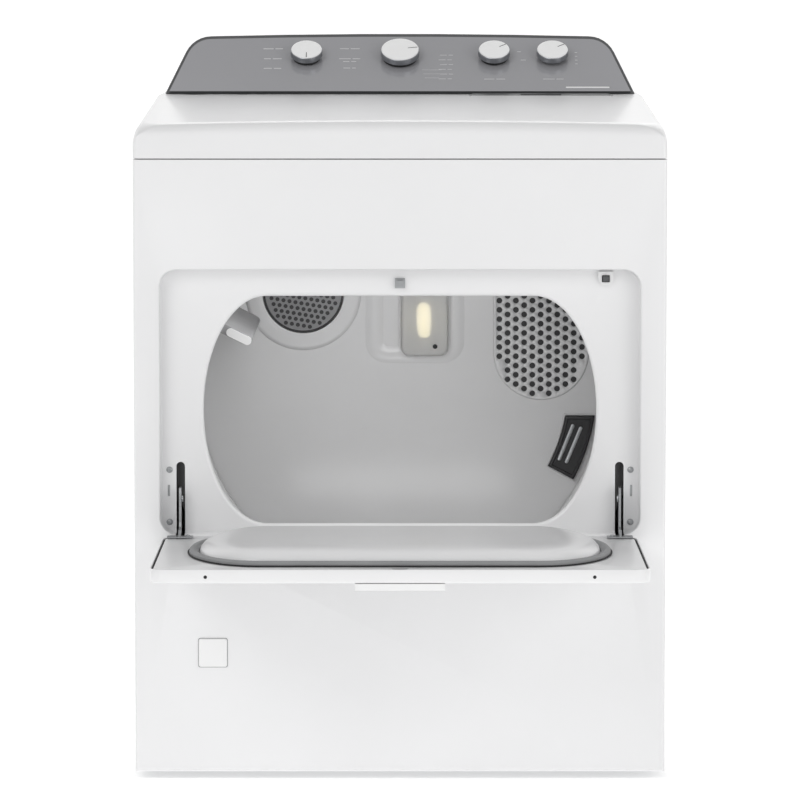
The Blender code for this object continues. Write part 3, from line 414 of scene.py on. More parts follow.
def carve(made, *shapes):
    """Cuts closed shapes out of a piece and keeps the result as its mesh."""
    helpers = []
    for shape in shapes:
        bmesh.ops.recalc_face_normals(shape, faces=shape.faces)
        mesh = bpy.data.meshes.new("cutter")
        shape.to_mesh(mesh)
        shape.free()
        helper = bpy.data.objects.new("cutter", mesh)
        bpy.context.scene.collection.objects.link(helper)
        helpers.append(helper)
        cutting = made.modifiers.new("cut", "BOOLEAN")
        cutting.operation = "DIFFERENCE"
        cutting.solver = "EXACT"
        cutting.object = helper
    bpy.context.view_layer.update()
    graph = bpy.context.evaluated_depsgraph_get()
    mesh = bpy.data.meshes.new_from_object(made.evaluated_get(graph))
    made.modifiers.clear()
    made.data = mesh
    mesh.shade_smooth()
    mesh.set_sharp_from_angle(angle=SHARP)
    for helper in helpers:
        bpy.data.objects.remove(helper)


def prism(outline, axis, start, end):
    return lofted([(outline, start), (outline, end)], axis)


def block(low, high):
    """A box between two corners."""
    (x0, y0, z0), (x1, y1, z1) = low, high
    return prism([(x0, y0), (x1, y0), (x1, y1), (x0, y1)], "Z", z0, z1)


def facing(centre, normal):
    """A matrix whose Z looks along normal, at centre."""
    return Matrix.Translation(centre) @ Vector(normal).to_track_quat("Z", "Y").to_matrix().to_4x4()


def screw(name, centre, normal, radius, body, finish=None):
    """A pan head with a round socket, on its washer face."""
    bm = turned([(radius * 1.18, 0.0), (radius * 1.18, radius * 0.16), (radius, radius * 0.20),
                 (radius * 0.96, radius * 0.42), (radius * 0.72, radius * 0.62),
                 (radius * 0.46, radius * 0.66), (radius * 0.42, radius * 0.25), (0, radius * 0.22)],
                segments=24)
    piece(name, bm, finish or ZINC, body, matrix=facing(centre, normal))


# ---------------- cabinet

HALF = CAD_HIGH.x
SHEET = 0.0012
WELL = FRONT + 0.026
HINGE = Vector((0.305, FRONT + 0.012, 0.336))
DRUM_Z = 0.503
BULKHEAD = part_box("rear_bulkhead")[1].y
GRILLE = FRONT + 0.5445
REAR = FRONT + 0.700

MOUTH_HALF, MOUTH_FLAT, MOUTH_LOW, MOUTH_HIGH = 0.273, 0.185, 0.357, 0.675
RECESS_HALF, RECESS_LOW, RECESS_HIGH, RECESS_CORNER = 0.3325, 0.345, 0.713, 0.024
SLOT_HALF, SLOT_LOW, SLOT_HIGH = 0.006, 0.3285, 0.438
SLIT_HALF, SLIT_LOW, SLIT_HIGH, SLIT_ASIDE = 0.0016, 0.396, 0.412, 0.0165
SWITCH_LEFT, SWITCH_RIGHT, SWITCH_LOW, SWITCH_HIGH = 0.2785, 0.2915, 0.6925, 0.7060
PLUG_X, PLUG_Z, PLUG_HALF = -0.260, 0.180, 0.0185
THROUGH = 0.010

LID_FRONT, LID_RISE, LID_CROWN = 0.912, 0.030, 0.005
LID_SIDE_INSET, LID_FRONT_INSET, LID_LEVELS = 0.013, 0.018, 12
LID_SIDE_DROP, LID_FRONT_DROP = 0.028, 0.016
CONSOLE_START = 0.553
LINT = Matrix.Translation((0.210, FRONT + 0.532, 0.9415)) @ Matrix.Rotation(math.radians(14), 4, "X")
LINT_SLOT_HALF, LINT_SLOT_DEPTH = 0.1075, 0.0105

# How the sheet turns at each edge, as (across, back from the face) pairs.
WRAP = ((0.0, 0.022), (0.0, 0.0045), (0.0004, 0.0026), (0.0013, 0.0013), (0.0026, 0.0004), (0.0045, 0.0))
DROP = ((0.0028, 0.0), (0.0014, 0.0003), (0.0004, 0.0012), (0.0, 0.0028), (0.0, 0.0215), (-0.0006, 0.0240),
        (-0.0020, 0.0255), (-0.0045, 0.026))
ROLL = ((0.0050, 0.0), (0.0025, 0.0006), (0.0008, 0.0020), (0.0, 0.0045), (0.0, 0.0125))


def mouth(grow=0.0):
    """The drum's opening in the front panel."""
    return barrel(MOUTH_HALF + grow, MOUTH_FLAT, MOUTH_LOW - grow, MOUTH_HIGH + grow)


def recess(grow):
    """The pocket that the closed door lies in."""
    return rounded(RECESS_HALF + grow, RECESS_LOW - grow, RECESS_HIGH + grow, RECESS_CORNER + grow, steps=14)


def front_cutters():
    """What is cut out of the front panel: hinge slots, slits, the switch's window and the plug's hole."""
    cutters = []
    for x in (-HINGE.x, HINGE.x):
        slot = [(x - SLOT_HALF, SLOT_LOW), (x + SLOT_HALF, SLOT_LOW)]
        slot += arc((x, SLOT_HIGH), SLOT_HALF, 0, 180, 12)
        cutters.append(prism(slot, "Y", FRONT - THROUGH, WELL + 0.008))
        slit = rounded(SLIT_HALF, SLIT_LOW, SLIT_HIGH, 0.0014, 3, middle=x + math.copysign(SLIT_ASIDE, x))
        cutters.append(prism(slit, "Y", WELL - 0.004, WELL + 0.004))
    cutters.append(block((SWITCH_LEFT, WELL - 0.006, SWITCH_LOW), (SWITCH_RIGHT, WELL + 0.008, SWITCH_HIGH)))
    cutters.append(block((PLUG_X - PLUG_HALF, FRONT - THROUGH, PLUG_Z - PLUG_HALF),
                         (PLUG_X + PLUG_HALF, FRONT + THROUGH, PLUG_Z + PLUG_HALF)))
    return cutters


def front_panel():
    """The pressed front with its recess and rolled rim, at the sheet's true smoothness."""
    low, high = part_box("front_panel")
    bm = bmesh.new()

    def edge(shrink):
        x = HALF - shrink
        return [(-x, low.z + shrink), (x, low.z + shrink), (x, high.z), (-x, high.z)]

    skin = [loop(bm, edge(shrink), "Y", FRONT + y) for shrink, y in WRAP]
    sides = [loop(bm, recess(grow), "Y", FRONT + y) for grow, y in DROP]
    rim = [loop(bm, mouth(grow), "Y", WELL + y) for grow, y in ROLL]
    for loops in (skin, sides, rim):
        band(bm, *loops)
    fill(bm, skin[-1], sides[0])
    fill(bm, sides[-1], rim[0])
    panel = piece("front_panel_skin", bm, ENAMEL, "cabinet", outward=(0, -1, 0),
                  thick=SHEET, stands_for=["front_panel"])
    carve(panel, *front_cutters())


def top_height(x, y):
    """The lid climbs to the console and is slightly crowned at its front."""
    along = min((y - FRONT) / CONSOLE_START, 1.0)
    return LID_FRONT + LID_RISE * along + LID_CROWN * (1 - along) * (1 - (x / HALF) ** 2)


def top_section(turn):
    """One level of the lid's edge. turn goes from 0, the side's top, to 1, the flat top."""
    rise, inward = math.sin(math.radians(90 * turn)), 1 - math.cos(math.radians(90 * turn))
    x, y = HALF - LID_SIDE_INSET * inward, FRONT + 0.001 + LID_FRONT_INSET * inward
    corner = 0.006 + 0.036 * turn
    left = arc((-x + corner, y + corner), corner, 180, 270, 14)
    right = arc((x - corner, y + corner), corner, 270, 360, 14)
    rows = [REAR] + [FRONT + back for back in (0.62, CONSOLE_START, 0.44, 0.3, 0.16)]
    sides = [(-x, row) for row in rows]
    middle = [(-0.24 + 0.06 * i, y) for i in range(9)]
    points = sides + left + middle + right + [(-px, py) for px, py in reversed(sides)]
    section = []
    for px, py in points:
        frontness = max(0.0, 1 - (py - y) / corner)
        drop = LID_SIDE_DROP + (LID_FRONT_DROP - LID_SIDE_DROP) * frontness
        section.append((px, py, top_height(px, py) - drop * (1 - rise)))
    return section


def top_panel():
    """The lid: its seam, its turned edge, then shrinking rings that carry the crown."""
    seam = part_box("top_panel")[0].z
    base = [(px, max(py - 0.001, FRONT), seam) for px, py, _ in top_section(0)]
    sections = [base] + [top_section(i / LID_LEVELS) for i in range(LID_LEVELS + 1)]
    flat = sections[-1]
    middle_y = FRONT + 0.38
    for scale in (0.94, 0.80, 0.62, 0.45):
        shrunk = [(px * scale, middle_y + (py - middle_y) * scale) for px, py, _ in flat]
        sections.append([(x, y, top_height(x, y)) for x, y in shrunk])
    bm = bmesh.new()
    loops = [[bm.verts.new(point) for point in section] for section in sections]
    band(bm, *loops)
    fill(bm, loops[-1])
    lid = piece("top_panel_skin", bm, ENAMEL, "cabinet", outward=(0, 0, 1),
                thick=SHEET, stands_for=["top_panel"])
    shape = block((-LINT_SLOT_HALF, -LINT_SLOT_DEPTH, -0.03), (LINT_SLOT_HALF, LINT_SLOT_DEPTH, 0.03))
    bmesh.ops.transform(shape, matrix=LINT, verts=shape.verts)
    carve(lid, shape)


front_panel()
top_panel()


# ---------------- console and knobs

TILT = math.radians(33.7)
CONSOLE_Y = FRONT + CONSOLE_START
CONSOLE_Z = 0.9425
KNOB_V = 0.0933
FLUTES, FLUTE_DEPTH = 72, 0.00022
# The fluted ring's profile, as (share of the radius, height above the fascia) pairs.
RING = ((0.90, 0.0062), (0.985, 0.0064), (1.0, 0.0074), (0.985, 0.0146), (0.955, 0.0152))
FLUTED_FROM, CAP_SHARE, CAP_LOW = 0.96, 0.955, 0.0150
POINTER_SHARES, POINTER_HALF, POINTER_LOW, POINTER_HIGH = (0.42, 0.90), 0.00055, 0.0166, 0.01735
# The first two set the black disc under each knob, which is painted shadow: its inset from the ring and its
# top.
SHADOW_RING_INSET, SHADOW_RING_HIGH, STUB = 0.0035, 0.0063, 0.006
PUSH_ROOM = 0.0048
SMALL_KNOB, LARGE_KNOB = 0.024, 0.0293
PRINT_LOW, PRINT_HIGH = 0.00003, 0.00012


def on_fascia(x, v):
    """A frame on the fascia: its Z points out of it, and its Y up the slope."""
    point = (x, CONSOLE_Y + v * math.cos(TILT), CONSOLE_Z + v * math.sin(TILT))
    return Matrix.Translation(point) @ Matrix.Rotation(TILT, 4, "X")


def fluted_ring(radius):
    bm = bmesh.new()
    rings = []
    for share, along in RING:
        ring = []
        for i in range(FLUTES * 2):
            angle = math.pi * i / FLUTES
            reach = radius * share - (FLUTE_DEPTH if i % 2 and share > FLUTED_FROM else 0.0)
            ring.append(bm.verts.new((reach * math.cos(angle), reach * math.sin(angle), along)))
        rings.append(ring)
    band(bm, *rings)
    bm.faces.new(rings[0])
    bm.faces.new(rings[-1])
    return bm


def knob(name, x, radius, degrees):
    """Fluted metal ring, white cap, and a pointer line at an angle anticlockwise from the right."""
    at = on_fascia(x, KNOB_V)
    body = f"{name}_knob"
    piece(f"{body}_ring", fluted_ring(radius), PEWTER, body, matrix=at, stands_for=[body])
    rim = radius * CAP_SHARE
    cap = [(0, CAP_LOW), (rim, CAP_LOW), (rim, 0.0161), (rim - 0.0004, 0.0167), (rim - 0.0014, 0.0170),
           (rim * 0.6, 0.01715), (0, 0.0172)]
    piece(f"{body}_cap", turned(cap, segments=64), CAP, body, matrix=at)
    pointer = math.radians(degrees)
    start, end = [(radius * share * math.cos(pointer), radius * share * math.sin(pointer))
                  for share in POINTER_SHARES]
    line = prism(capsule(start, end, POINTER_HALF, 4), "Z", POINTER_LOW, POINTER_HIGH)
    piece(f"{body}_pointer", line, DARK, body, matrix=at)
    # Under each knob a black disc, a little inside the ring, is painted shadow in the gap below the knob.
    low = PUSH_ROOM if name == "start" else 0.0008
    inner = radius - SHADOW_RING_INSET
    collar = turned([(0, low), (inner, low), (inner, SHADOW_RING_HIGH), (0, SHADOW_RING_HIGH)])
    piece(f"{body}_shadow_ring", collar, BLACK, body, matrix=at)
    stub = turned([(0, -STUB), (STUB / 2, -STUB), (STUB / 2, STUB), (0, STUB)], segments=20)
    piece(f"{body}_stub", stub, BLACK, body, matrix=at)


def dashes(name, x, v, widths, height=0.0024, gap=0.0022, finish=INK):
    """A line of print shown as plain bars, centred on x."""
    left = x - (sum(widths) + gap * (len(widths) - 1)) / 2
    for number, width in enumerate(widths, 1):
        reach = (width - height) / 2
        bar = prism(capsule((-reach, 0), (reach, 0), height / 2, 4), "Z", PRINT_LOW, PRINT_HIGH)
        at = on_fascia(left + width / 2, v)
        piece(f"{name}_{number}", bar, finish, "cabinet", matrix=at)
        left += width + gap


def fascia_print():
    """Bars where the photograph has print: (height up the slope, widths) for each line."""
    temperature = ((0.118, (0.016, 0.012)), (0.0915, (0.011, 0.014)), (0.066, (0.013, 0.012)))
    for row, (v, widths) in enumerate(temperature, 1):
        dashes(f"label_temperature_{row}", -0.192, v, widths)
    timer = ((0.118, (0.014, 0.014)), (0.0915, (0.018, 0.012)), (0.084, (0.010, 0.008)),
             (0.067, (0.011, 0.006)))
    for row, (v, widths) in enumerate(timer, 1):
        dashes(f"label_timer_{row}", -0.076, v, widths, height=0.0020)
    for row in range(6):
        x, v = 0.070 - 0.002 * (row % 2), 0.101 - 0.0125 * row
        dashes(f"label_scale_{row + 1}", x, v, (0.011, 0.007), height=0.0016)
    for row in range(3):
        v, width = 0.062 - 0.0105 * row, 0.030 - 0.004 * row
        dashes(f"label_rule_{row + 1}", 0.048, v, (width,), height=0.0009)
    dashes("label_signal_on", 0.186, 0.088, (0.008,), height=0.0016)
    dashes("label_signal_off", 0.180, 0.110, (0.006,), height=0.0016)
    dashes("label_signal", 0.142, 0.038, (0.016, 0.014), height=0.0018)
    dashes("label_start", 0.230, 0.038, (0.018, 0.011), height=0.0018)
    for row in range(4):
        dashes(f"label_push_{row + 1}", 0.266, 0.108 - 0.010 * row, (0.004,), height=0.0013)
    dashes("label_line", 0.281, 0.0165, (0.066,), height=0.0036, finish=SATIN)


knob("temperature", -0.141, SMALL_KNOB, -90)
knob("timer", 0.0, LARGE_KNOB, 10)
knob("signal", 0.142, SMALL_KNOB, 35)
knob("start", 0.230, SMALL_KNOB, 35)
fascia_print()


# ---------------- inside the drum

OUTLET_LEFT, OUTLET_RIGHT, OUTLET_HIGH = 0.140, 0.2835, 0.715
OUTLET_FOOT_Z, OUTLET_REACH = 0.5555, 0.2985
HOLES_ACROSS, HOLES_UP, HOLE_RADIUS = 0.0124, 0.01395, 0.0044
HOLES_LEFT, HOLES_LOW, HOLES_LOW_ODD, HOLES_HIGH, HOLES_REACH = 0.1489, 0.4938, 0.5009, 0.704, 0.2900
HOLES_FOOT_X, HOLES_FOOT_RADIUS = 0.2110, 0.0637

INLET = (-0.145, 0.6455)
INLET_RADIUS, INLET_FIELD, INLET_HOLE = 0.0575, 0.0525, 0.0032
INLET_PITCH, INLET_ROW, INLET_TILT = 0.0091, 0.0082, math.radians(-9.5)
ROUND = 96

SWELL_X, SWELL_HALF, SWELL_LOW, SWELL_HIGH, SWELL_CORNER = 0.0225, 0.0740, 0.5390, 0.7300, 0.0330
DASH_Z, DASH_LENGTH, DASH_HALF = 0.440, 0.008, 0.0011
LAMP_X, LAMP_HALF, LAMP_LOW, LAMP_HIGH, LAMP_CORNER = 0.037, 0.035, 0.551, 0.668, 0.012

SOCKET_HALF, SOCKET_BACK = 0.0165, 0.0195
LAMP_SCREW_X, LAMP_SCREW_Z, LAMP_SCREW = LAMP_X + 0.0155, 0.5655, 0.0030
SENSOR_REACH, SENSOR_INNER, SENSOR_HIGH, SENSOR_END = 0.295, 0.252, 0.460 - DRUM_Z, -28

# Profiles of pressed and moulded edges, as (across, out of the bulkhead) pairs. Round the inlet, across
# is a radius.
OUTLET_EDGE = ((0.0, 0.0), (0.0006, 0.0010), (0.0013, 0.0017), (0.0020, 0.0020))
INLET_SWELL = ((0.0600, 0.0), (0.0615, 0.0022), (0.0665, 0.0026), (0.0720, 0.0022), (0.0800, 0.0006),
               (0.0870, 0.0))
INLET_RIM = ((0.0572, 0.0), (0.0572, 0.0026), (0.0580, 0.0034), (0.0592, 0.0034), (0.0598, 0.0026),
             (0.0598, 0.0))
LAMP_BEAD = ((0.0, -0.0003), (0.0030, 0.0006), (0.0080, 0.0020), (0.0130, 0.0026), (0.0180, 0.0020),
             (0.0230, 0.0006), (0.0260, -0.0003))
LAMP_EDGE = ((0.0022, 0.0155), (0.0022, 0.0), (0.0, 0.0), (0.0, 0.0135), (0.0006, 0.0158), (0.0022, 0.0173),
             (0.0045, 0.0180))
# The bulb's glass, as (radius, height) pairs.
BULB = ((0, 0.5780), (0.0050, 0.5782), (0.0075, 0.5810), (0.0092, 0.5880), (0.0104, 0.6000),
        (0.0105, 0.6130), (0.0095, 0.6220), (0.0070, 0.6278), (0.0035, 0.6300), (0, 0.6304))
LAMP_FRAME = ((-0.0040, 0.0), (-0.0034, 0.0016), (-0.0004, 0.0016), (-0.0002, 0.0))
LAMP_TRAY = ((0.0030, 0.0002), (0.0030, 0.0010), (0.0080, 0.0012), (0.0085, 0.0002))
SENSOR_EDGE = ((0.0, 0.0), (0.0, 0.0062), (0.0008, 0.0074), (0.0022, 0.0080), (0.0040, 0.0078),
               (0.0052, 0.0064))
SENSOR_RAIL = ((-0.0028, 0.0), (-0.0024, 0.0014), (-0.0008, 0.0014), (-0.0004, 0.0))
STRIPS = (((0.2592, 0.4452), (0.2392, 0.3955)), ((0.2712, 0.4415), (0.2502, 0.3912)))
STRIP_EDGE = ((0.0027, 0.0062), (0.0027, 0.0074), (0.0021, 0.0080), (0.0010, 0.0082))


def raised(outline_at, profile, closed=False):
    """Lofts an outline, shrunk by each step of a profile, out of the bulkhead's face."""
    sections = [(outline_at(shrink), GRILLE - rise) for shrink, rise in profile]
    return lofted(sections, "Y", closed=closed)


def outlet_outline(shrink=0.0):
    """A tall window with a round foot, its right side following the drum's neck."""
    left, right, high = OUTLET_LEFT + shrink, OUTLET_RIGHT - shrink, OUTLET_HIGH - shrink
    reach = OUTLET_REACH - shrink
    low_angle = math.degrees(math.acos(right / reach))
    high_angle = math.degrees(math.asin((high - DRUM_Z) / reach))
    points = arc(((left + right) / 2, OUTLET_FOOT_Z), (right - left) / 2, 180, 360, 28)
    points += arc((0, DRUM_Z), reach, low_angle, high_angle, 14)
    return points + [(left, high)]


def outlet_holes():
    """Staggered columns over the window's round foot."""
    holes = []
    for column in range(11):
        x = HOLES_LEFT + HOLES_ACROSS * column
        base = HOLES_LOW_ODD if column % 2 else HOLES_LOW
        foot = math.sqrt(max(HOLES_FOOT_RADIUS**2 - (x - HOLES_FOOT_X) ** 2, 0.0))
        bottom = OUTLET_FOOT_Z - foot - 0.002
        for row in range(16):
            z = base + HOLES_UP * row
            if bottom <= z <= HOLES_HIGH and math.hypot(x, z - DRUM_Z) <= HOLES_REACH:
                holes.append(circle((x, z), HOLE_RADIUS, 16))
    return holes


def inlet_holes():
    """A hexagonal field, tilted, inside a circle."""
    holes = []
    for row in range(-8, 9):
        for column in range(-8, 9):
            a = INLET_PITCH * (column + 0.5 * (row % 2))
            b = INLET_ROW * row
            x = a * math.cos(INLET_TILT) - b * math.sin(INLET_TILT)
            z = a * math.sin(INLET_TILT) + b * math.cos(INLET_TILT)
            if math.hypot(x, z) < INLET_FIELD:
                holes.append(circle((INLET[0] + x, INLET[1] + z), INLET_HOLE, 12))
    return holes


def outlet():
    """The pressed grille over the lint screen's duct, and a black sheet behind its holes, painted shade."""
    bm = bmesh.new()
    loops = [loop(bm, outlet_outline(shrink), "Y", GRILLE - rise) for shrink, rise in OUTLET_EDGE]
    band(bm, *loops)
    face = GRILLE - OUTLET_EDGE[-1][1]
    fill(bm, loops[-1], *[loop(bm, hole, "Y", face) for hole in outlet_holes()])
    piece("outlet_grille_face", bm, DRUM, "cabinet", outward=(0, -1, 0), thick=0.0006,
          stands_for=["outlet_grille"])
    hole_shade = prism(outlet_outline(0.0030), "Y", GRILLE - 0.0007, GRILLE - 0.0003)
    piece("outlet_hole_shade", hole_shade, BLACK, "cabinet")


def inlet():
    """The round grille that hot air comes through, on its pressed swell."""
    swell = turned([(radius, GRILLE - rise) for radius, rise in INLET_SWELL], INLET, "Y", ROUND)
    piece("inlet_relief", swell, DRUM, "cabinet", outward=(0, -1, 0), thick=0.0004)
    face = plate(circle(INLET, INLET_RADIUS, 72), inlet_holes(), "Y", GRILLE - 0.0026, GRILLE - 0.0012)
    piece("inlet_grille_face", face, GRILLE_GREY, "cabinet",
          stands_for=["inlet_grille"])
    # A black disc behind the grille is painted shade in its holes.
    far, near, reach = GRILLE - 0.0003, GRILLE - 0.0006, 0.0566
    hole_shade = turned([(0, near), (reach, near), (reach, far), (0, far)], INLET, "Y", 72)
    piece("inlet_hole_shade", hole_shade, BLACK, "cabinet")
    rim = turned([(radius, GRILLE - rise) for radius, rise in INLET_RIM], INLET, "Y", ROUND, closed=True)
    piece("inlet_grille_rim", rim, BLACK, "cabinet")


def bulkhead_reliefs():
    """Two small pressed dashes low down, and the swell round the lamp."""
    for name, start in (("left", -0.057), ("right", 0.050)):
        bar = capsule((start, DASH_Z), (start + DASH_LENGTH, DASH_Z), DASH_HALF, 5)
        dash = prism(bar, "Y", GRILLE - 0.0008, GRILLE)
        piece(f"bulkhead_dash_{name}", dash, DRUM, "cabinet")

    def outline(shrink):
        half, corner = SWELL_HALF - shrink, SWELL_CORNER - shrink
        return rounded(half, SWELL_LOW + shrink, SWELL_HIGH - shrink, corner, 8, middle=SWELL_X)

    swell = raised(outline, LAMP_BEAD, closed=True)
    piece("lamp_relief", swell, DRUM, "cabinet")


def lamp_outline(shrink):
    corner = LAMP_CORNER - shrink * 0.4
    return rounded(LAMP_HALF - shrink, LAMP_LOW + shrink, LAMP_HIGH - shrink, corner, 8, middle=LAMP_X)


def lamp():
    """The lens in its frame, with the lit bulb, its socket plate and a white reflector behind."""
    cover = raised(lamp_outline, LAMP_EDGE)
    piece("lamp_cover", cover, LENS, "cabinet", stands_for=["light_lens"])
    bezel = raised(lamp_outline, LAMP_FRAME, closed=True)
    piece("lamp_bezel", bezel, DRUM, "cabinet")
    tray = raised(lamp_outline, LAMP_TRAY, closed=True)
    piece("lamp_reflector", tray, SATIN, "cabinet")
    bulb = turned(BULB, (LAMP_X - 0.001, GRILLE - 0.0025), "Z", 40)
    piece("lamp_bulb", bulb, GLOW, "cabinet", stands_for=["light_bulb"])
    back = rounded(SOCKET_HALF, BULB[0][1] - 0.001, BULB[-2][1], 0.004, 4, middle=LAMP_X)
    socket = prism(back, "Y", BULKHEAD + SOCKET_BACK, BULKHEAD + SOCKET_BACK + 0.001)
    piece("lamp_socket_plate", socket, SATIN, "cabinet")
    at = (LAMP_SCREW_X, GRILLE - LAMP_EDGE[-1][1], LAMP_SCREW_Z)
    screw("lamp_screw", at, (0, -1, 0), LAMP_SCREW, "cabinet", BLACK)


def sensor_outline(shrink):
    """Part of a ring round the drum's axis, level at its top."""
    outer, inner, top = SENSOR_REACH - shrink, SENSOR_INNER + shrink, SENSOR_HIGH - shrink
    low = SENSOR_END + math.degrees(shrink / 0.27)
    points = arc((0, DRUM_Z), outer, math.degrees(math.asin(top / outer)), low, 16)
    return points + arc((0, DRUM_Z), inner, low, math.degrees(math.asin(top / inner)), 16)


def sensor():
    """Two steel strips on a black carrier with a raised edge."""
    carrier = raised(sensor_outline, SENSOR_EDGE)
    piece("sensor_carrier", carrier, BLACK, "cabinet", stands_for=["moisture_sensor"])
    seat = raised(sensor_outline, SENSOR_RAIL, closed=True)
    piece("sensor_seat", seat, DRUM, "cabinet")
    for number, (start, end) in enumerate(STRIPS, 1):
        strip = lofted([(capsule(start, end, half), GRILLE - rise) for half, rise in STRIP_EDGE], "Y")
        piece(f"sensor_strip_{number}", strip, ZINC, "cabinet")


outlet()
inlet()
bulkhead_reliefs()
lamp()
sensor()


# ---------------- drum

SHELL, FIN_HEIGHT, FIN_HALF = 0.3270, 0.095, 0.0068
FIN_ANGLES = (154, 50, 262)
# The fin's foot, as (across, height) pairs, and its ends, as (back from the front, share of the height).
FIN_FOOT = [(-0.0190, 0.0), (-0.0125, 0.0035), (-0.0088, 0.0100), (-FIN_HALF, 0.0230)]
FIN_ENDS = ((0.0985, 0.90), (0.0995, 0.95), (0.1030, 0.985), (0.1090, 1.0), (0.4780, 1.0), (0.4850, 0.97),
            (0.4875, 0.90))
# Where the painted highlight on each fin's front end lies: its length, half width, and its start and end
# back from the front.
HIGHLIGHT_LENGTH, HIGHLIGHT_HALF, HIGHLIGHT_START, HIGHLIGHT_END = 0.0260, 0.0060, 0.0955, 0.1010
DRUM_BEADS = (0.150, 0.440)


def round_drum(out, across, angle):
    """A point this far out along a radius of the drum, and this far to its side."""
    turn = math.radians(angle)
    return (out * math.cos(turn) - across * math.sin(turn),
            DRUM_Z + out * math.sin(turn) + across * math.cos(turn))


def fin_section(angle, share):
    """A fin across the drum: flared foot on the shell, slim web, round crest. Share scales its height."""
    top = FIN_HEIGHT * share - FIN_HALF
    left = FIN_FOOT + [(-FIN_HALF, top)]
    crest = arc((0, top), FIN_HALF, 180, 0, 12)[1:-1]
    right = [(-across, rise) for across, rise in reversed(left)]
    return [round_drum(math.sqrt(SHELL**2 - across**2) - rise, across, angle)
            for across, rise in left + crest + right]


def drum_inside():
    for number, angle in enumerate(FIN_ANGLES, 1):
        fin = lofted([(fin_section(angle, share), FRONT + y) for y, share in FIN_ENDS], "Y")
        # Each fin wears the darker finish, which is painted shade.
        piece(f"drum_fin_{number}", fin, FIN, "drum", stands_for=[f"drum_baffle_{number}"])
        # A white bar at each fin's front end is a painted highlight on its crest.
        crest = SHELL - FIN_HEIGHT + HIGHLIGHT_LENGTH / 4
        bar = capsule(round_drum(crest, 0, angle), round_drum(crest + HIGHLIGHT_LENGTH, 0, angle), HIGHLIGHT_HALF)
        tip = prism(bar, "Y", FRONT + HIGHLIGHT_START, FRONT + HIGHLIGHT_END)
        piece(f"drum_fin_painted_highlight_{number}", tip, SATIN, "drum")
    for number, y in enumerate(DRUM_BEADS, 1):
        ring = [(radius, FRONT + y + along) for radius, along in arc((0.3300, 0.0), 0.0022, 90, 270, 8)]
        piece(f"drum_bead_{number}", turned(ring, (0, DRUM_Z), "Y", 120), DRUM, "drum",
              thick=0.0003)


# ---------------- door

DOOR_HALF, DOOR_FAR, DOOR_NEAR, DOOR_CORNER = 0.3285, 0.3745, 0.0165, 0.020
DOME_HALF, DOME_FAR, DOME_NEAR = 0.2705, 0.330, 0.034
DOOR_FRONT = HINGE.y - DOOR_FAR
DRILL_X, DRILL_Z, DRILL_RADIUS = 0.255, HINGE.z - 0.0035, 0.0024
DOOR_FACE = 0.0056

# Edges of the lying door, as (shrink, height above the hinge's axis) pairs.
DOOR_SKIN = ((0.0035, -0.0120), (0.0018, -0.0117), (0.0006, -0.0107), (0.0, -0.0088), (0.0, 0.0050),
             (0.0003, 0.0062))
DOOR_LINING = ((0.0014, 0.0062), (0.0016, 0.0050), (0.0016, -0.0085), (0.0040, -0.0106))
INNER_EDGE = ((0.0040, DOOR_FACE - 0.007), (0.0040, DOOR_FACE - 0.0012), (0.0046, DOOR_FACE - 0.0003),
              (0.0056, DOOR_FACE))
DOME = ((-0.0020, DOOR_FACE), (0.0, 0.0064), (0.0008, 0.0105), (0.0026, 0.0150), (0.0070, 0.0198),
        (0.0140, 0.0236), (0.0240, 0.0265), (0.0360, 0.0282), (0.0500, 0.0290))
# The black strip between outer and inner panel is painted shadow in their gap.
EDGE_SHADOW_LINE = ((0.0018, 0.0035), (0.0018, 0.0046), (0.0037, 0.0046), (0.0037, 0.0035))
GASKET_SECTION = ((-0.0135, 0.0068), (-0.0140, 0.0085), (-0.0136, 0.0110), (-0.0115, 0.0131),
                  (-0.0085, 0.0137), (-0.0055, 0.0128), (-0.0040, 0.0112), (-0.0030, 0.0104),
                  (-0.0012, 0.0100), (-0.0006, 0.0068))
BRACKET_X, BRACKET_SCREWS, BRACKET_SCREW = 0.3205, (0.433, 0.360), 0.0038
ARM_FOOT_X, ARM_FOOT_OUT, ARM_FOOT_HIGH, ARM_FOOT_SCREW = 0.2935, 0.026, 0.0090, 0.0030
RIVET_X, RIVET_HIGH = 0.3025, 0.058
RIVET = ((0, -0.0012), (0.0042, -0.0012), (0.0046, 0.0), (0.0042, 0.0012), (0, 0.0012))
# The black ring at the gasket's outer edge is painted shadow where the gasket meets the panel.
GASKET_SHADOW_LINE = ((-0.0160, 0.0066), (-0.0160, 0.0078), (-0.0142, 0.0080), (-0.0140, 0.0066))


def door_outline(shrink):
    corner = max(DOOR_CORNER - shrink, 0.002)
    return rounded(DOOR_HALF - shrink, DOOR_FRONT + shrink, HINGE.y - DOOR_NEAR - shrink, corner, 12)


def dome_outline(shrink):
    """The inner panel's raised middle, which fills the drum's opening when the door is shut."""
    return barrel(DOME_HALF - shrink, MOUTH_FLAT, HINGE.y - DOME_FAR + shrink, HINGE.y - DOME_NEAR - shrink)


def along_door(outline_at, profile, closed=False):
    """Lofts an outline, shrunk by each step of a profile, up from the hinge's axis."""
    sections = [(outline_at(shrink), HINGE.z + h) for shrink, h in profile]
    return lofted(sections, "Z", closed=closed)


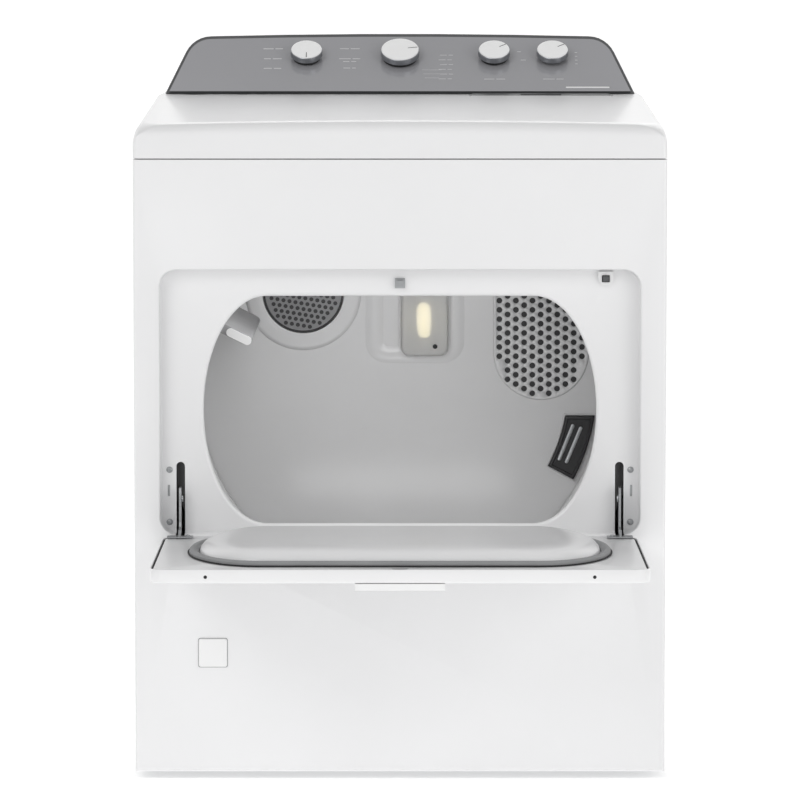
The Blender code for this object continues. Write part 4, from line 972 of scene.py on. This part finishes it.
def door_skin():
    """The folded outer panel, with a plugged hole near each end of its front edge."""
    skin = along_door(door_outline, DOOR_SKIN + DOOR_LINING)
    panel = piece("door_outer_skin", skin, ENAMEL, "door", stands_for=["door_outer_panel"])
    sides = (("left", -DRILL_X), ("right", DRILL_X))
    drills = [prism(circle((x, DRILL_Z), DRILL_RADIUS, 20), "Y", DOOR_FRONT - 0.004, DOOR_FRONT + 0.003)
              for _, x in sides]
    carve(panel, *drills)
    for name, x in sides:
        face = DOOR_FRONT + 0.0018
        profile = [(0, face), (0.0030, face), (0.0030, face + 0.0010), (0, face + 0.0012)]
        grommet = turned(profile, (x, DRILL_Z), "Y", 20)
        piece(f"door_hole_{name}", grommet, BLACK, "door")


def door_lining():
    """The inner panel with its low dome, and the slot that the strike stands in."""
    bm = bmesh.new()
    edge = [loop(bm, door_outline(shrink), "Z", HINGE.z + h) for shrink, h in INNER_EDGE]
    dome = [loop(bm, dome_outline(shrink), "Z", HINGE.z + h) for shrink, h in DOME]
    band(bm, *edge)
    band(bm, *dome)
    fill(bm, edge[-1], dome[0])
    fill(bm, dome[-1])
    inner = piece("door_inner_skin", bm, ENAMEL, "door", outward=(0, 0, 1), thick=0.0009,
                  stands_for=["door_inner_panel"])
    near, far = HINGE.y - 0.364, HINGE.y - 0.350
    carve(inner, block((-0.010, near, HINGE.z - 0.004), (0.010, far, HINGE.z + 0.010)))


def door_gasket_and_shade_lines():
    # Both black lines are painted shadow: one round the panels' gap and one round the gasket's foot.
    strip = along_door(door_outline, EDGE_SHADOW_LINE, closed=True)
    piece("door_edge_shadow_line", strip, RUBBER, "door")
    seal = along_door(dome_outline, GASKET_SECTION, closed=True)
    piece("door_gasket", seal, GASKET, "door", stands_for=["door_seal"])
    foot = along_door(dome_outline, GASKET_SHADOW_LINE, closed=True)
    piece("door_gasket_shadow_line", foot, RUBBER, "door")


def hinge_details():
    """Screws of the brackets and feet, and the rivet at each arm."""
    for name, side in (("left", -1), ("right", 1)):
        for row, z in enumerate(BRACKET_SCREWS, 1):
            place = (side * BRACKET_X, WELL, z)
            screw(f"hinge_screw_{name}_{row}", place, (0, -1, 0), BRACKET_SCREW, "cabinet")
        foot = (side * ARM_FOOT_X, HINGE.y - ARM_FOOT_OUT, HINGE.z + ARM_FOOT_HIGH)
        screw(f"hinge_foot_screw_{name}", foot, (0, 0, 1), ARM_FOOT_SCREW, "door")
        centre = Matrix.Translation((side * RIVET_X, HINGE.y, HINGE.z + RIVET_HIGH))
        at = centre @ Matrix.Rotation(math.pi / 2, 4, "Y")
        piece(f"hinge_rivet_{name}", turned(RIVET, segments=24), ZINC, "door", matrix=at)


door_skin()
door_lining()
door_gasket_and_shade_lines()
hinge_details()
drum_inside()


# ---------------- plug, back and lint screen

# A grey ring painted as shadow in the plug's seam, as (half width, depth) pairs.
PLUG_SHADOW_SEAM = ((0.0199, 0.0), (0.0199, -0.0007), (0.0205, -0.0007), (0.0206, 0.0))
# Pressed ribs and louvres of the back, as (half width, height) pairs.
RIB = ((0.0150, 0.0), (0.0125, 0.0012), (0.0080, 0.0026), (0.0040, 0.0030))
LOUVRE = ((0.0042, 0.0), (0.0036, 0.0018), (0.0022, 0.0026))
RIB_PLACES, RIB_LOW, RIB_HIGH = (-0.18, 0.02, 0.20), 0.300, 0.740
LOUVRES, LOUVRE_LOW, LOUVRE_PITCH, LOUVRE_START, LOUVRE_END = 8, 0.175, 0.014, 0.180, 0.270
REAR_SCREW, REAR_SCREW_X, REAR_SCREW_INNER_X = 0.0042, 0.350, 0.120
REAR_SCREW_HEIGHTS, REAR_SCREW_ENDS = (0.060, 0.325, 0.590, 0.845), (0.045, 0.850)
DUCT_Z, DUCT_BEAD_BACK = 0.104, 0.016
DUCT_BEAD = ((0.0508, 0.0), (0.0520, 0.0012), (0.0524, 0.0026), (0.0520, 0.0040), (0.0508, 0.0052))

FRAME_HALF, FRAME_LOW, FRAME_HIGH, FRAME_DEPTH = 0.1050, -0.360, -0.010, 0.0058
WINDOW_COLUMNS = ((-0.0990, -0.0360), (-0.0310, 0.0310), (0.0360, 0.0990))
WINDOW_ROWS = ((-0.354, -0.186), (-0.180, -0.020))
# The cap and its finger scoop, as (half width, half depth, height) rows.
LINT_CAP = ((0.1045, 0.0080, -0.0095), (0.1045, 0.0084, -0.0030), (0.1040, 0.0080, -0.0010),
            (0.1025, 0.0065, 0.0))
LINT_SCOOP = ((0.028, 0.0020, -0.0050), (0.030, 0.0030, -0.0010), (0.031, 0.0035, 0.0010))


def plug_shadow_edge():
    """A grey ring in the seam round the gas access plug, painted as the seam's shadow."""
    ring = lofted([(rounded(half, PLUG_Z - half, PLUG_Z + half, 0.0032, 5, middle=PLUG_X), FRONT + y)
                   for half, y in PLUG_SHADOW_SEAM], "Y", closed=True)
    piece("plug_shadow_edge", ring, GASKET, "cabinet")


def pressed_bar(name, start, end, profile, face):
    bar = lofted([(capsule(start, end, half), face + rise) for half, rise in profile], "Y")
    piece(name, bar, GALVANISED, "cabinet")


def back_details():
    """Ribs, louvres and edge screws of the rear panel, and the bead on the exhaust collar."""
    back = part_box("rear_panel")[1].y
    for number, x in enumerate(RIB_PLACES, 1):
        pressed_bar(f"rear_rib_{number}", (x, RIB_LOW), (x, RIB_HIGH), RIB, back)
    for number in range(LOUVRES):
        z = LOUVRE_LOW + LOUVRE_PITCH * number
        pressed_bar(f"rear_louvre_{number + 1}", (LOUVRE_START, z), (LOUVRE_END, z), LOUVRE, back)
    places = [(side * REAR_SCREW_X, z) for side in (-1, 1) for z in REAR_SCREW_HEIGHTS]
    places += [(side * REAR_SCREW_INNER_X, z) for side in (-1, 1) for z in REAR_SCREW_ENDS]
    for number, (x, z) in enumerate(places, 1):
        screw(f"rear_screw_{number}", (x, back, z), (0, 1, 0), REAR_SCREW, "cabinet")
    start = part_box("exhaust_duct")[1].y - DUCT_BEAD_BACK
    ring = [(radius, start + along) for radius, along in DUCT_BEAD]
    bead = turned(ring, (0, DUCT_Z), "Y", 72, closed=True)
    piece("exhaust_bead", bead, GALVANISED, "cabinet")


def lint_filter():
    """A moulded frame with a woven screen on each side and a finger grip on top."""
    outer = [(-FRAME_HALF, FRAME_LOW), (FRAME_HALF, FRAME_LOW), (FRAME_HALF, FRAME_HIGH),
             (-FRAME_HALF, FRAME_HIGH)]
    windows = []
    for left, right in WINDOW_COLUMNS:
        for low, high in WINDOW_ROWS:
            windows.append(rounded((right - left) / 2, low, high, 0.005, 4, middle=(left + right) / 2))
    shape = plate(outer, windows, "Y", -FRAME_DEPTH, FRAME_DEPTH)
    piece("lint_frame", shape, DARK, "lint_screen", matrix=LINT,
          stands_for=["lint_screen"], bevel=0.0006)
    half, low, high = FRAME_HALF - 0.002, FRAME_LOW + 0.002, FRAME_HIGH - 0.002
    for name, y in (("front", -0.0040), ("rear", 0.0036)):
        cloth = prism([(-half, low), (half, low), (half, high), (-half, high)], "Y", y, y + 0.0004)
        piece(f"lint_mesh_{name}", cloth, MESH, "lint_screen", matrix=LINT)
    cap = lofted([(rounded(half, -depth, depth, 0.004, 6), z) for half, depth, z in LINT_CAP], "Z")
    lid = piece("lint_cap", cap, DARK, "lint_screen", matrix=LINT)
    scoop = lofted([(rounded(half, -depth, depth, 0.0012, 6), z) for half, depth, z in LINT_SCOOP], "Z")
    bmesh.ops.transform(scoop, matrix=LINT, verts=scoop.verts)
    carve(lid, scoop)


plug_shadow_edge()
back_details()
lint_filter()


# ---------------- camera, light and floor

CAMERA_AWAY, CAMERA_Z, CAMERA_PITCH = 6.362, 1.107, 5.158
CAMERA_SENSOR, CAMERA_LENS, CAMERA_REACH = 36.0, 207.8, 60.0
WORLD_STRENGTH = 0.50
FLOOR_HALF, FLOOR_FRONT, CURVE_START, CURVE_RADIUS, BACKDROP_HIGH = 14.0, -14.0, 4.5, 2.5, 9.0
# Each soft light's name, place, target, size and watts.
LIGHTS = (
    ("key", (-2.6, -4.2, 3.4), (0, 0, 0.55), (2.4, 2.4), 55),
    ("fill", (3.2, -3.6, 1.8), (0, 0, 0.5), (2.4, 2.4), 36),
    ("over", (0.0, 0.4, 3.6), (0, 0, 0.5), (3.0, 2.0), 3),
    ("back", (0.6, 3.6, 2.6), (0, 0.4, 0.6), (2.6, 1.8), 9),
    ("drum_high", (0, FRONT + 0.07, 0.74), (0, BULKHEAD, 0.42), (0.40, 0.06), 0.80),
    ("drum_low", (0, FRONT + 0.07, 0.31), (0, BULKHEAD, 0.55), (0.34, 0.05), 0.40),
)


def camera():
    made = bpy.data.objects.new("camera", bpy.data.cameras.new("camera"))
    bpy.context.scene.collection.objects.link(made)
    made.location = (0.0, FRONT - CAMERA_AWAY, CAMERA_Z)
    made.rotation_euler = (math.radians(90 - CAMERA_PITCH), 0.0, 0.0)
    made.data.sensor_width = CAMERA_SENSOR
    made.data.lens = CAMERA_LENS
    made.data.clip_end = CAMERA_REACH
    bpy.context.scene.camera = made


def softbox(name, place, target, size, power):
    data = bpy.data.lights.new(name, "AREA")
    data.shape = "RECTANGLE"
    data.size, data.size_y = size
    data.energy = power
    made = bpy.data.objects.new(name, data)
    bpy.context.scene.collection.objects.link(made)
    made.location = place
    made.rotation_euler = (Vector(target) - Vector(place)).to_track_quat("-Z", "Y").to_euler()


def studio():
    world = bpy.context.scene.world or bpy.data.worlds.new("world")
    bpy.context.scene.world = world
    world.use_nodes = True
    backing = world.node_tree.nodes["Background"]
    backing.inputs["Color"].default_value = (1.0, 1.0, 1.0, 1.0)
    backing.inputs["Strength"].default_value = WORLD_STRENGTH
    for light in LIGHTS:
        softbox(*light)
    bpy.context.scene.view_settings.view_transform = "Standard"


def sweep():
    """Floor that curves up into a backdrop."""
    bm = bmesh.new()
    rows = [(FLOOR_FRONT, 0.0)]
    rows += arc((CURVE_START, CURVE_RADIUS), CURVE_RADIUS, -90, 0, 15)
    rows += [(CURVE_START + CURVE_RADIUS, BACKDROP_HIGH)]
    verts = [[bm.verts.new((x, y, z)) for x in (-FLOOR_HALF, FLOOR_HALF)] for y, z in rows]
    for (a, b), (c, d) in zip(verts, verts[1:]):
        bm.faces.new((a, b, d, c))
    mesh = bpy.data.meshes.new("studio_floor")
    bm.to_mesh(mesh)
    bm.free()
    mesh.shade_smooth()
    paper = finish_of("studio_paper", (0.93, 0.93, 0.93), 0.9, vary=0.004, cloud=2.0, grain=60.0,
                      bump=0.0001, Specular_IOR_Level=0.1, Emission_Color=(1.0, 1.0, 1.0, 1.0),
                      Emission_Strength=0.42)
    mesh.materials.append(paper)
    made = bpy.data.objects.new("studio_floor", mesh)
    bpy.context.scene.collection.objects.link(made)


camera()
studio()
sweep()
